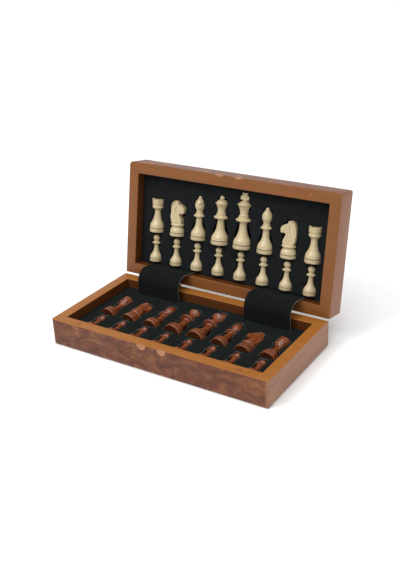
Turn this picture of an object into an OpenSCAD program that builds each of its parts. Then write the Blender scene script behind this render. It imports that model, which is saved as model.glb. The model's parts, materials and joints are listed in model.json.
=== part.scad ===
// Folding wooden chess box: two hinged tray halves that carry the board on their outer faces
// and store both armies in padded trays inside.
// Frame: +X along the box, +Y towards the hinge, +Z up, origin at the middle of the base's underside.

/* [Case] */
// Length of the box along the hinge
case_l = 380; // [365:1:460]
// Depth of one half, from its front edge to the hinge edge
case_w = 190; // [184:1:230]
// Height of one half
half_h = 43.5; // [41:0.5:54]
// Thickness of the four rails of each half
rim_t = 18; // [12:0.5:20]
// Thickness of the board panel
board_t = 6; // [5.5:0.5:8]
// Radius of the upright corners
corner_r = 5.5; // [2:0.5:8]
// Radius along the outer edges of the board faces
edge_r = 4.5; // [1:0.5:5]
// Opening angle of the lid in its stored display position, from closed
lid_open = 101; // [95:1:110]

/* [Board] */
// Side of one square
square = 40; // [30:0.5:41]
// Thickness of the inlaid squares
square_t = 0.9; // [0.6:0.1:1.5]
// Joint between neighbouring squares
square_gap = 0.1; // [0.05:0.05:0.5]

/* [Trays] */
// Depth of the base's padding below the parting plane
base_recess = 15; // [14:0.5:17]
// Depth of the lid's padding below the parting plane
lid_recess = 17; // [15:0.5:19]
// Depth of the stored pieces' axes below the base's padding surface
base_sink = 4; // [1:0.5:6]
// Depth of the stored pieces' axes below the lid's padding surface
lid_sink = 1; // [0:0.5:3]
// Gap between the padding and the rails
foam_gap = 0.1; // [0:0.05:0.5]
// Clearance between a piece and its pocket
pocket_gap = 0.5; // [0.3:0.1:1]
// Spacing of the eight columns of pieces
column_pitch = 41.1; // [39:0.1:43]
// Sideways offset of the columns from the middle of the tray
column_shift = 2.4; // [-4:0.2:4]
// Distance of the back row's bases from the reference edge
major_base = 76; // [75:0.5:80]
// Distance of the pawns' bases from the reference edge
pawn_base = 25; // [23:1:27]

/* [Chess pieces] */
// Height of a king
king_h = 89; // [80:1:92]
// Height of a queen
queen_h = 78.7; // [72:0.1:86]
// Height of a bishop
bishop_h = 72; // [66:1:78]
// Height of a knight
knight_h = 58.5; // [54:0.5:64]
// Height of a rook
rook_h = 56; // [50:1:62]
// Height of a pawn
pawn_h = 45.6; // [42:0.1:47]
// Base radius of the king and queen
king_r = 14.7; // [13:0.1:15.2]
// Base radius of the bishop, knight and rook
officer_r = 12.8; // [11.5:0.1:14.5]
// Base radius of a pawn
pawn_r = 10.5; // [9:0.1:12]

/* [Hinges] */
// Distance of each hinge from the middle of the box
hinge_x = 101; // [70:1:140]
// Length of a hinge
hinge_l = 50; // [30:1:64]
// Reach of a leaf onto the rim, from the hinge edge
leaf_w = 13; // [9:0.5:13]
// Thickness of a leaf
leaf_t = 1.2; // [0.8:0.1:1.6]
// Outer radius of the knuckles
knuckle_r = 1.8; // [1.6:0.1:2.4]
// Radius of the hinge pin
pin_r = 0.9; // [0.6:0.05:1]
// Radial clearance of the pin in the lid's knuckles
pin_fit = 0.05; // [0.02:0.01:0.1]
// Knuckles on one hinge
knuckles = 5; // [3:2:9]
// Gap between neighbouring knuckles
knuckle_gap = 0.3; // [0.2:0.05:0.5]
// Gap between the two rims when the box is shut
shut_gap = 0.3; // [0.3:0.05:0.6]

/* [Screws and magnets] */
// Radius of a hinge screw's shank
screw_r = 1.1; // [0.8:0.05:1.3]
// Length of a hinge screw
screw_l = 10; // [6:0.5:14]
// Radius of a screw head
screw_head_r = 2; // [1.6:0.1:2.4]
// Distance of the magnets from the middle of the box
magnet_x = 141; // [100:1:160]
// Radius of a magnet
magnet_r = 4; // [2.5:0.5:6]
// Depth of a magnet
magnet_t = 4; // [2:0.5:8]

/* [Finger scoops] */
// Distance of each scoop from the middle of the front edge
scoop_x = 17.5; // [12:0.5:24]
// Radius of the scoop's ball cutter
scoop_r = 12; // [8:0.5:16]
// Depth of the scoop into the front edge
scoop_d = 3; // [1:0.25:4]

/* [Straps] */
// Width of the fabric straps that cover the hinges
strap_w = 80; // [66:1:90]
// Thickness of a strap
strap_t = 1.2; // [0.8:0.1:2]
// Radius of the bow a strap makes over the inside corner, in the display position
strap_bow_r = 20; // [12:1:22]
// Distance of a strap from the base's hinge-side rail
strap_base_gap = 11; // [6:0.5:12]
// Distance of a strap from the lid's hinge-side rail
strap_lid_gap = 2.5; // [1.5:0.25:3]
// Length of a strap's end that is tucked into the padding
strap_tab = 7; // [3:1:12]

/* [Hidden] */
eps = 0.01;
side_count = 8;
axis_y = case_w / 2 + knuckle_r;        // hinge axis
axis_z = half_h + shut_gap / 2;
board_l = side_count * square;
screw_dx = hinge_l / 2 - 8;             // screws from the middle of a hinge
screw_dy = leaf_w / 2;                  // screws from the hinge edge
hole_gap = 0.1;                         // radial clearance of holes for screws and magnets
slot_w = 0.5;                           // driver slot in a screw head
slot_d = 0.4;
bow_steps = 16;                         // flats that a strap's bow is made of
colours = ["light", "dark"];
light_wood = "BurlyWood";
dark_wood = "Sienna";
case_wood = "Peru";

// Outlines of the turned pieces, as shares of the base radius and of the height
KING = [[1, 0], [1, 0.05], [0.94, 0.06], [0.94, 0.072], [0.92, 0.12], [0.84, 0.165], [0.66, 0.215],
        [0.52, 0.29], [0.43, 0.37], [0.4, 0.49], [0.8, 0.5], [0.86, 0.513], [0.84, 0.53],
        [0.56, 0.565], [0.56, 0.58], [0.48, 0.59], [0.5, 0.605], [0.44, 0.625], [0.46, 0.66],
        [0.6, 0.73], [0.77, 0.785], [0.77, 0.795], [0.58, 0.81], [0.42, 0.835]];
QUEEN = [[1, 0], [1, 0.055], [0.94, 0.066], [0.94, 0.08], [0.92, 0.13], [0.84, 0.175], [0.66, 0.225],
         [0.52, 0.3], [0.43, 0.38], [0.38, 0.46], [0.38, 0.53], [0.76, 0.54], [0.81, 0.553],
         [0.78, 0.57], [0.53, 0.61], [0.53, 0.628], [0.46, 0.64], [0.48, 0.66], [0.43, 0.68],
         [0.45, 0.72], [0.58, 0.79], [0.7, 0.835], [0.66, 0.86], [0.48, 0.9], [0.22, 0.93]];
BISHOP = [[1, 0], [1, 0.06], [0.94, 0.072], [0.94, 0.088], [0.92, 0.14], [0.82, 0.19], [0.6, 0.26],
          [0.47, 0.34], [0.4, 0.43], [0.38, 0.53], [0.7, 0.54], [0.72, 0.555], [0.52, 0.6],
          [0.42, 0.625], [0.46, 0.65], [0.4, 0.67], [0.5, 0.71], [0.61, 0.765], [0.63, 0.8],
          [0.58, 0.85], [0.44, 0.905], [0.22, 0.945]];
ROOK = [[1, 0], [1, 0.08], [0.94, 0.095], [0.94, 0.115], [0.93, 0.2], [0.84, 0.27], [0.62, 0.37],
        [0.48, 0.47], [0.42, 0.58], [0.42, 0.64], [0.52, 0.68], [0.7, 0.725], [0.74, 0.75],
        [0.74, 0.8], [0.69, 0.815], [0.74, 0.83], [0.79, 0.87], [0.8, 1], [0.56, 1], [0.54, 0.95]];
PAWN = [[1, 0], [1, 0.09], [0.94, 0.105], [0.94, 0.12], [0.88, 0.21], [0.72, 0.27], [0.5, 0.39],
        [0.38, 0.52], [0.34, 0.66], [0.64, 0.67], [0.68, 0.7], [0.66, 0.72], [0.46, 0.755],
        [0.3, 0.78]];
KNIGHT = [[1, 0], [1, 0.085], [0.94, 0.098], [0.94, 0.115], [0.93, 0.2], [0.84, 0.25], [0.74, 0.265],
          [0.74, 0.29], [0.82, 0.305], [0.82, 0.35], [0.74, 0.37]];
// Profile of the knight's head and neck, looking along +X, in the same shares
HORSE = [[-0.86, 0.36], [-0.93, 0.5], [-0.93, 0.72], [-0.86, 0.85], [-0.7, 0.94], [-0.45, 0.99],
         [-0.3, 1], [-0.02, 0.995], [0.17, 0.975], [0.25, 0.93], [0.5, 0.895], [0.92, 0.837],
         [1.08, 0.79], [1.12, 0.75], [1.1, 0.68], [0.98, 0.645], [0.7, 0.64], [0.42, 0.635],
         [0.56, 0.57], [0.78, 0.47], [0.9, 0.4], [0.9, 0.36]];
// Half of the cross on the king, as shares of half its width and of its height
CROSS = [[0.56, 0], [0.56, 0.15], [0.5, 0.34], [0.94, 0.3], [1, 0.5], [0.94, 0.7], [0.5, 0.66],
         [0.76, 0.96], [0.4, 1]];
cross_foot = 0.82;                      // share of the king's height where the cross starts
cross_t = 4.6;                          // thickness of the cross
horse_t = 12.4;                         // thickness of the knight's head
mitre_cut = 1.2;                        // width of the slanting cut in a bishop's head
notch_w = 2;                            // notches round a rook's top
notch_d = 2;

// Kind, height, base radius, outline, ball's share of the base radius,
// and the stretches of the pocket wider than the neck: start, end, half width, all as shares
KINDS = [
    ["king", king_h, king_r, KING, 0, [[0.49, 0.56, 0.86], [0.7, 0.81, 0.77], [0.8, 1, 0.5]]],
    ["queen", queen_h, king_r, QUEEN, 0.27, [[0.53, 0.6, 0.81], [0.76, 0.88, 0.7]]],
    ["bishop", bishop_h, officer_r, BISHOP, 0.25, [[0.53, 0.61, 0.72], [0.7, 0.9, 0.63]]],
    ["knight", knight_h, officer_r, KNIGHT, 0, []],
    ["rook", rook_h, officer_r, ROOK, 0, [[0.7, 1, 0.8]]],
    ["pawn", pawn_h, pawn_r, PAWN, 0.54, [[0.66, 0.74, 0.68], [0.74, 1, 0.54]]]];
function row_of(kind) = [for (k = KINDS) if (k[0] == kind) k][0];
neck = 0.53;                            // widest share of the base radius outside those stretches

// Officers from left to right: node name, kind, and the way a knight looks
OFFICERS = [["rook_left", "rook", 1], ["knight_left", "knight", 1], ["bishop_left", "bishop", 1],
            ["queen", "queen", 1], ["king", "king", 1], ["bishop_right", "bishop", 1],
            ["knight_right", "knight", -1], ["rook_right", "rook", 1]];

// ---- Places -------------------------------------------------------------------------------

function column_x(i) = (i - (side_count - 1) / 2) * column_pitch + column_shift;

// Upper surface of the padding; reference is -1 in the base and 1 in the lid, here and below
function foam_top(reference) = half_h - (reference > 0 ? lid_recess : base_recess);

// Height of the stored pieces' axes
function rest_z(reference) = foam_top(reference) - (reference > 0 ? lid_sink : base_sink);

// Carries the lid from closed to its display position, about the hinge axis
module lid_place() {
    translate([0, axis_y, axis_z]) rotate([-lid_open, 0, 0]) translate([0, -axis_y, -axis_z])
        children();
}

// Turns a base-shaped half over into the closed lid
module closed_lid() {
    translate([0, 0, 2 * half_h + shut_gap]) mirror([0, 0, 1]) children();
}

module lid_half() { lid_place() closed_lid() children(); }

// Draws its children at the two hinges
module at_hinges() {
    for (side = [-1, 1]) translate([side * hinge_x, 0, 0]) children();
}

// ---- Case ---------------------------------------------------------------------------------

// Plan of one half: the two front corners are rounded, the two at the hinge are square
module plan() {
    x = case_l / 2 - corner_r;
    y = case_w / 2 - corner_r;
    translate([-case_l / 2, -y]) square([case_l, case_w - corner_r]);
    translate([-x, -case_w / 2]) square([2 * x, corner_r + eps]);
    for (s = [-1, 1]) translate([s * x, -y]) circle(corner_r, $fn = 64);
}

// Section of a slab of the given breadth with its lower edges eased, at the left or at both ends
module eased_section(breadth, both) {
    translate([-breadth / 2 + edge_r, 0]) square([breadth - (both ? 2 : 1) * edge_r, board_t]);
    translate([-breadth / 2, edge_r]) square([breadth, board_t - edge_r]);
    for (s = both ? [-1, 1] : [-1]) translate([s * (breadth / 2 - edge_r), edge_r])
        circle(edge_r, $fn = 64);
}

// The half of the board that one panel carries, its first row along the hinge edge
module board_squares(dark) {
    for (i = [0:side_count - 1]) for (j = [0:side_count / 2 - 1]) if ((i + j) % 2 == (dark ? 0 : 1))
        translate([-board_l / 2 + i * square + square_gap / 2,
                   case_w / 2 - (j + 1) * square + square_gap / 2, 0])
            cube([square - square_gap, square - square_gap, square_t]);
}

// Panel of one half, with the recess that the squares are laid in
module panel() {
    rows_w = side_count / 2 * square;
    difference() {
        intersection() {
            linear_extrude(board_t) plan();
            rotate([90, 0, 0]) linear_extrude(case_w + 2, center = true) eased_section(case_l, true);
            rotate([90, 0, 90]) linear_extrude(case_l + 2, center = true) eased_section(case_w, false);
        }
        translate([-board_l / 2, case_w / 2 - rows_w, -1]) cube([board_l, rows_w + 1, square_t + 1]);
    }
}

// Sector of the plan that belongs to one rail, cut along the mitres
module mitre_sector(name) {
    x = case_l / 2;
    y = case_w / 2;
    linear_extrude(half_h)
        if (name == "front") polygon([[-x, -y], [x, -y], [x - y, 0], [y - x, 0]]);
        else if (name == "back") polygon([[-x, y], [y - x, 0], [x - y, 0], [x, y]]);
        else if (name == "left") polygon([[-x, -y], [y - x, 0], [-x, y]]);
        else polygon([[x, -y], [x, y], [x - y, 0]]);
}

// One rail of a half, before its cuts
module plain_rail(name) {
    intersection() {
        translate([0, 0, board_t]) linear_extrude(half_h - board_t) difference() {
            plan();
            square([case_l - 2 * rim_t, case_w - 2 * rim_t], center = true);
        }
        mitre_sector(name);
    }
}

module front_rail() {
    difference() {
        plain_rail("front");
        for (s = [-1, 1]) {
            translate([s * scoop_x, -case_w / 2 + scoop_d - scoop_r, half_h]) sphere(scoop_r, $fn = 64);
            translate([s * magnet_x, -case_w / 2 + rim_t / 2, half_h - magnet_t - hole_gap])
                cylinder(h = magnet_t + 1, r = magnet_r + hole_gap, $fn = 48);
        }
    }
}

module magnets() {
    for (s = [-1, 1])
        translate([s * magnet_x, -case_w / 2 + rim_t / 2, half_h - magnet_t])
            cylinder(h = magnet_t, r = magnet_r, $fn = 48);
}

// Hinge-side rail with the leaf seats, the knuckle troughs and the screw pilots
module back_rail() {
    trough_r = knuckle_r + pocket_gap;
    difference() {
        plain_rail("back");
        at_hinges() {
            translate([-hinge_l / 2 - hole_gap, case_w / 2 - leaf_w - hole_gap,
                       half_h - leaf_t - hole_gap / 2])
                cube([hinge_l + 2 * hole_gap, leaf_w + 1, leaf_t + 1]);
            translate([0, axis_y, axis_z]) rotate([0, 90, 0])
                cylinder(h = hinge_l + 2 * hole_gap, r = trough_r, center = true, $fn = 48);
            for (s = [-1, 1]) translate([s * screw_dx, case_w / 2 - screw_dy, half_h - screw_l - 1])
                cylinder(h = screw_l + 2, r = screw_r + hole_gap, $fn = 32);
        }
    }
}

// ---- Trays --------------------------------------------------------------------------------

// Outline of a stored piece's pocket, base at the origin and head along +Y
module pocket_outline(kind, look) {
    k = row_of(kind);
    h = k[1];
    r = k[2];
    g = pocket_gap;
    translate([-r - g, -g]) square([2 * (r + g), 0.26 * h + 2 * g]);
    if (kind == "knight") {
        wide = 0.93 * r + g;
        translate([-wide, 0.2 * h]) square([2 * wide, 0.45 * h]);
        polygon([for (p = [[-wide, 0.6 * h], [-wide, 0.88 * h], [-0.55 * r, h + g], [0.25 * r, h + g],
                           [1.14 * r + g, 0.84 * h], [1.14 * r + g, 0.63 * h - g]]) [look * p[0], p[1]]]);
    } else {
        translate([-neck * r - g, 0.2 * h]) square([2 * (neck * r + g), 0.8 * h - k[4] * r]);
        polygon([[-r - g, 0.25 * h], [r + g, 0.25 * h], [neck * r + g, 0.46 * h], [-neck * r - g, 0.46 * h]]);
        if (k[4] > 0) translate([0, h - k[4] * r]) circle(k[4] * r + g, $fn = 48);
        for (b = k[5]) translate([-b[2] * r - g, b[0] * h - g])
            square([2 * (b[2] * r + g), (b[1] - b[0]) * h + 2 * g]);
    }
}

module pocket(kind, look) {
    translate([0, 0, -row_of(kind)[2] - pocket_gap]) linear_extrude(half_h) pocket_outline(kind, look);
}

// Lays children in column i of a tray, their base a distance from the reference edge, which is
// the front edge in the base and the hinge edge in the lid
module stored(reference, i, distance) {
    translate([column_x(i), reference * (case_w / 2 - distance), rest_z(reference)])
        rotate([0, 0, reference > 0 ? 180 : 0]) children();
}

// Padding of one half, with a slit for each strap at a distance from the hinge-side rail
module foam(reference, slit_gap) {
    slit_t = strap_t + 2 * pocket_gap;
    top = foam_top(reference);
    difference() {
        translate([-case_l / 2 + rim_t + foam_gap, -case_w / 2 + rim_t + foam_gap, board_t])
            cube([case_l - 2 * (rim_t + foam_gap), case_w - 2 * (rim_t + foam_gap), top - board_t]);
        for (i = [0:side_count - 1]) {
            stored(reference, i, major_base) pocket(OFFICERS[i][1], -reference * OFFICERS[i][2]);
            stored(reference, i, pawn_base) pocket("pawn", 1);
        }
        at_hinges() translate([-strap_w / 2 - pocket_gap, case_w / 2 - rim_t - slit_gap - slit_t / 2,
                               top - strap_tab - pocket_gap])
            cube([strap_w + 2 * pocket_gap, slit_t, strap_tab + 1]);
    }
}

// ---- Hinges -------------------------------------------------------------------------------

// One leaf of a hinge on the base; first is 0 for the base's knuckles and 1 for the lid's
module leaf(first) {
    segment = hinge_l / knuckles;
    bore = first == 0 ? pin_r : pin_r + pin_fit;
    back = case_w / 2 - pocket_gap;
    difference() {
        union() {
            translate([-hinge_l / 2, case_w / 2 - leaf_w, half_h - leaf_t])
                cube([hinge_l, back - case_w / 2 + leaf_w, leaf_t]);
            for (i = [first:2:knuckles - 1]) translate([-hinge_l / 2 + i * segment + knuckle_gap / 2, 0, 0]) {
                translate([0, axis_y, axis_z]) rotate([0, 90, 0])
                    cylinder(h = segment - knuckle_gap, r = knuckle_r, $fn = 48);
                translate([0, back - 1, half_h - leaf_t])
                    cube([segment - knuckle_gap, axis_y - back + 1, leaf_t]);
            }
        }
        translate([0, axis_y, axis_z]) rotate([0, 90, 0])
            cylinder(h = hinge_l + 2, r = bore, center = true, $fn = 48);
        for (s = [-1, 1]) translate([s * screw_dx, case_w / 2 - screw_dy, half_h - leaf_t]) {
            translate([0, 0, -1]) cylinder(h = leaf_t + 2, r = screw_r + hole_gap, $fn = 32);
            cylinder(h = leaf_t + eps, r1 = screw_r + hole_gap, r2 = screw_head_r + hole_gap, $fn = 32);
        }
    }
}

module pins() {
    at_hinges() translate([0, axis_y, axis_z]) rotate([0, 90, 0])
        cylinder(h = hinge_l, r = pin_r, center = true, $fn = 48);
}

module screws() {
    at_hinges() for (s = [-1, 1])
        translate([s * screw_dx, case_w / 2 - screw_dy, half_h]) rotate([180, 0, 0]) difference() {
            union() {
                cylinder(h = leaf_t, r1 = screw_head_r, r2 = screw_r, $fn = 32);
                cylinder(h = screw_l, r = screw_r, $fn = 32);
            }
            translate([-screw_head_r, -slot_w / 2, -1]) cube([2 * screw_head_r, slot_w, 1 + slot_d]);
        }
}

// ---- Straps -------------------------------------------------------------------------------

// One face of a strap in the display position, from the base's padding, round the bow and
// square into the lid's padding, at a distance outside the strap's middle line
function strap_face(out) = let (
    base_y = case_w / 2 - rim_t - strap_base_gap,
    // Where the strap meets the lid's padding, in the closed lid and then in the open one
    dy = case_w / 2 - rim_t - strap_lid_gap - axis_y,
    dz = half_h + shut_gap + lid_recess - axis_z,
    lid_y = axis_y + dy * cos(lid_open) + dz * sin(lid_open),
    lid_z = axis_z - dy * sin(lid_open) + dz * cos(lid_open),
    reach = (lid_y - base_y) / sin(lid_open),
    bow_y = base_y + strap_bow_r,
    bow_z = lid_z - reach * cos(lid_open) - strap_bow_r * tan(lid_open / 2),
    into = [sin(lid_open), cos(lid_open)],
    up = [-cos(lid_open), sin(lid_open)])
    concat(
        [[base_y - out, foam_top(-1) - strap_tab]],
        [for (i = [0:bow_steps]) let (a = 180 - lid_open * i / bow_steps)
            [bow_y + (strap_bow_r + out) * cos(a), bow_z + (strap_bow_r + out) * sin(a)]],
        [[lid_y, lid_z] + strap_tab * into + out * up]);

module strap_section() {
    outer = strap_face(strap_t / 2);
    inner = strap_face(-strap_t / 2);
    polygon(concat(outer, [for (i = [len(inner) - 1:-1:0]) inner[i]]));
}

module strap() {
    translate([-strap_w / 2, 0, 0]) rotate([90, 0, 90]) linear_extrude(strap_w) strap_section();
}

// ---- Chess pieces -------------------------------------------------------------------------

// A piece standing on the origin
module standing(kind, look) {
    k = row_of(kind);
    h = k[1];
    r = k[2];
    top = k[3][len(k[3]) - 1][1] * h;
    difference() {
        union() {
            rotate_extrude($fn = 64)
                polygon(concat([[0, 0]], [for (p = k[3]) [p[0] * r, p[1] * h]], [[0, top]]));
            if (k[4] > 0) translate([0, 0, h - k[4] * r]) sphere(k[4] * r, $fn = 48);
            if (kind == "king") cross();
            if (kind == "knight") rotate([90, 0, 0]) linear_extrude(horse_t, center = true)
                polygon([for (p = HORSE) [look * p[0] * r, p[1] * h]]);
        }
        if (kind == "bishop") translate([0.55 * r, 0, 0.86 * h]) rotate([0, -40, 0])
            cube([0.9 * r, 2 * r, mitre_cut], center = true);
        if (kind == "rook") for (a = [0:60:120]) rotate([0, 0, a + 30]) translate([0, 0, h])
            cube([3 * r, notch_w, 2 * notch_d], center = true);
    }
}

module cross() {
    half_w = king_r / 2;
    foot = cross_foot * king_h;
    tall = king_h - foot;
    n = len(CROSS);
    rotate([90, 0, 0]) linear_extrude(cross_t, center = true) polygon(concat(
        [for (p = CROSS) [p[0] * half_w, foot + p[1] * tall]],
        [for (i = [n - 1:-1:0]) [-CROSS[i][0] * half_w, foot + CROSS[i][1] * tall]]));
}

// A piece lying in its pocket of a base-shaped half
module lying(reference, i, distance, kind, look) {
    stored(reference, i, distance) rotate([-90, 0, 0]) standing(kind, -reference * look);
}

module officer(reference, i) { lying(reference, i, major_base, OFFICERS[i][1], OFFICERS[i][2]); }

module pawn(reference, i) { lying(reference, i, pawn_base, "pawn", 1); }

// ---- Nodes --------------------------------------------------------------------------------

module base_panel() { color(case_wood) panel(); }
module base_front_rail() { color(case_wood) front_rail(); }
module base_back_rail() { color(case_wood) back_rail(); }
module base_left_rail() { color(case_wood) plain_rail("left"); }
module base_right_rail() { color(case_wood) plain_rail("right"); }
module base_light_squares() { color(light_wood) board_squares(false); }
module base_dark_squares() { color(dark_wood) board_squares(true); }
module base_foam() { color("DarkSlateGray") foam(-1, strap_base_gap); }
module base_magnets() { color("Silver") magnets(); }
module lid_panel() { color(case_wood) lid_half() panel(); }
module lid_front_rail() { color(case_wood) lid_half() front_rail(); }
module lid_back_rail() { color(case_wood) lid_half() back_rail(); }
module lid_left_rail() { color(case_wood) lid_half() plain_rail("left"); }
module lid_right_rail() { color(case_wood) lid_half() plain_rail("right"); }
module lid_light_squares() { color(light_wood) lid_half() board_squares(true); }
module lid_dark_squares() { color(dark_wood) lid_half() board_squares(false); }
module lid_foam() { color("DarkSlateGray") lid_half() foam(1, strap_lid_gap); }
module lid_magnets() { color("Silver") lid_half() magnets(); }
module hinge_base_leaf(side) { color("Gold") translate([side * hinge_x, 0, 0]) leaf(0); }
module hinge_lid_leaf(side) { color("Gold") lid_half() translate([side * hinge_x, 0, 0]) leaf(1); }
module hinge_pins() { color("Gold") pins(); }
module base_hinge_screws() { color("Gold") screws(); }
module lid_hinge_screws() { color("Gold") lid_half() screws(); }
module fabric_strap(side) { color("Black") translate([side * hinge_x, 0, 0]) strap(); }
module light_officer(i) { color(light_wood) lid_half() officer(1, i); }
module light_pawn(i) { color(light_wood) lid_half() pawn(1, i); }
module dark_officer(i) { color(dark_wood) officer(-1, i); }
module dark_pawn(i) { color(dark_wood) pawn(-1, i); }

base_panel();
base_front_rail();
base_back_rail();
base_left_rail();
base_right_rail();
base_light_squares();
base_dark_squares();
base_foam();
base_magnets();
lid_panel();
lid_front_rail();
lid_back_rail();
lid_left_rail();
lid_right_rail();
lid_light_squares();
lid_dark_squares();
lid_foam();
lid_magnets();
hinge_base_leaf(-1);  // left_hinge_base_leaf
hinge_lid_leaf(-1);  // left_hinge_lid_leaf
hinge_base_leaf(1);  // right_hinge_base_leaf
hinge_lid_leaf(1);  // right_hinge_lid_leaf
hinge_pins();
base_hinge_screws();
lid_hinge_screws();
fabric_strap(-1);  // left_strap
fabric_strap(1);  // right_strap
for (i = [0:side_count - 1]) {
    light_officer(i);
    dark_officer(i);
    light_pawn(i);
    dark_pawn(i);
}
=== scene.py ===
"""Folding wooden chess box, open in its display position, with both armies in their padded trays.

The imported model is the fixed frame: sizes and places come from it, or from the named fields of
the classes below. Lengths are metres, +X runs along the box, +Y towards the hinge and +Z up.
"""

import json
import logging
import math
from dataclasses import dataclass, field, replace
from enum import Enum
from typing import Iterable, Sequence

import bmesh
import bpy
from mathutils import Matrix, Vector

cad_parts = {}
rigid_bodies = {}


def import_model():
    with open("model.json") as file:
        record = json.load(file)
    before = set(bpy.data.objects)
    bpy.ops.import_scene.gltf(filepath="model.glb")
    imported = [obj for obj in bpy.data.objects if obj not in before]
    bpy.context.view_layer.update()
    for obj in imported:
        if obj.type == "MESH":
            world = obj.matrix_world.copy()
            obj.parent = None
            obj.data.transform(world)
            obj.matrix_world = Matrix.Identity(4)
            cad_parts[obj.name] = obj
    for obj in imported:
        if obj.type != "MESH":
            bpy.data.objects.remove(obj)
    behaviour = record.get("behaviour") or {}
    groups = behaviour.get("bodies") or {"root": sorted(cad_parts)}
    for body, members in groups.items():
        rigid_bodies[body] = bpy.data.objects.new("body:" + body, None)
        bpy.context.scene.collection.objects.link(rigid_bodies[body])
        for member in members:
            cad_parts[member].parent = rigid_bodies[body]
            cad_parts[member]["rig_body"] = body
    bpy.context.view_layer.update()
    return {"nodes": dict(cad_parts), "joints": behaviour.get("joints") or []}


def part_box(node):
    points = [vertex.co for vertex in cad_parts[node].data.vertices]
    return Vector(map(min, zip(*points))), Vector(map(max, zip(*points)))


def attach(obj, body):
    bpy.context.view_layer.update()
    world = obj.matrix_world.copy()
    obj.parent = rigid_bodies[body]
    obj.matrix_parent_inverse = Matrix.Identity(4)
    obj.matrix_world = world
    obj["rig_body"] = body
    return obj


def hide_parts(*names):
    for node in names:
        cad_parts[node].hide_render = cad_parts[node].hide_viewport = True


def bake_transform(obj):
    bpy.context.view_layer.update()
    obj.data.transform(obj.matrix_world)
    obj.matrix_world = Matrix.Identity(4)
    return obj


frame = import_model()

MM = 0.001
# Two places nearer to each other than this are the same
SAME = 0.01 * MM
log = logging.getLogger("chess_box")

Colour = tuple[float, float, float]
Mesh = bmesh.types.BMesh
Material = bpy.types.Material


# ---- Choices ----------------------------------------------------------------------------------


class Side(Enum):
    """The four sides of the box; each half has a rail on all of them."""

    FRONT = "front"
    BACK = "back"
    LEFT = "left"
    RIGHT = "right"


class Army(Enum):
    """The two sets of pieces."""

    DARK = "dark"
    LIGHT = "light"

    @property
    def body(self) -> str:
        """The half of the box that the army lies in."""
        return "base" if self is Army.DARK else "lid"


class Grain(Enum):
    """The axis of a half of the box that the wood's fibres run along."""

    ALONG_BOX = 0
    TOWARDS_HINGE = 1


class Layer(Enum):
    """The looks of a rail, by the numbers of its materials."""

    VENEER = 0
    RIM = 1
    INSIDE = 2
    SCOOP = 3


class Kind(Enum):
    """The six kinds of chess piece."""

    KING = "king"
    QUEEN = "queen"
    BISHOP = "bishop"
    KNIGHT = "knight"
    ROOK = "rook"
    PAWN = "pawn"


# ---- Places and sizes -------------------------------------------------------------------------


@dataclass(frozen=True)
class Place:
    """Where one half of the box sits.

    Attributes:
        body: ``base`` or ``lid``, the body that the half's pieces ride on.
        tilt: angle from the closed lid to the displayed one, in radians, 0 for the base.
        axis: a point on the hinge axis.
    """

    body: str
    tilt: float
    axis: Vector

    def matrix(self) -> Matrix:
        """Gives the matrix that carries a half lying like the base to where this half is."""
        if self.body == "base":
            return Matrix.Identity(4)
        to_axis = Matrix.Translation(self.axis)
        turned_over = Matrix.Scale(-1, 4, Vector((0, 0, 1)))
        return to_axis @ Matrix.Rotation(-self.tilt, 4, "X") @ turned_over @ to_axis.inverted()

    def pattern_shift(self) -> Vector:
        """Gives the Mapping node's location that goes with a turn of ``tilt`` about the axis."""
        return self.axis - Matrix.Rotation(self.tilt, 3, "X") @ self.axis

    def local_box(self, node: str) -> tuple[Vector, Vector]:
        """Measures a CAD node in its half's own coordinates.

        Args:
            node: the node's name.

        Returns:
            Its lowest and its highest corner, as if the half lay like the base.
        """
        back = self.matrix().inverted()
        points = [back @ vertex.co for vertex in frame["nodes"][node].data.vertices]
        low = Vector([min(point[i] for point in points) for i in range(3)])
        high = Vector([max(point[i] for point in points) for i in range(3)])
        return low, high


def places() -> dict[str, Place]:
    """Reads the hinge from the frame and gives the two halves' places by body name."""
    hinge = next(joint for joint in frame["joints"] if joint["name"] == "lid_hinge")
    axis = Vector(hinge["pos_m"])
    return {"base": Place("base", 0.0, axis),
            "lid": Place("lid", math.radians(-hinge["range_deg"][0]), axis)}


@dataclass(frozen=True)
class CaseSizes:
    """Sizes of one half of the box, as the frame has them.

    Attributes:
        length, depth, height: of the half, lying like the base.
        rim: thickness of the rails.
        foam_top: height of the padding's upper surface.
        rest: height of the axes of the pieces that lie in it.
    """

    length: float
    depth: float
    height: float
    rim: float
    foam_top: float
    rest: float

    @classmethod
    def measured(cls, place: Place, army: Army) -> "CaseSizes":
        """Measures the nodes of one half, and a pawn of the army that lies in it."""
        panel = place.local_box(f"{place.body}_panel")[1]
        rail = place.local_box(f"{place.body}_front_rail")[1]
        foam = place.local_box(f"{place.body}_foam")[1]
        pawn_low, pawn_high = place.local_box(f"{army.value}_pawn_1")
        return cls(length=2 * panel.x, depth=2 * panel.y, height=rail.z, rim=rail.y + panel.y,
                   foam_top=foam.z, rest=(pawn_low.z + pawn_high.z) / 2)


# ---- Shader maths -----------------------------------------------------------------------------


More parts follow.
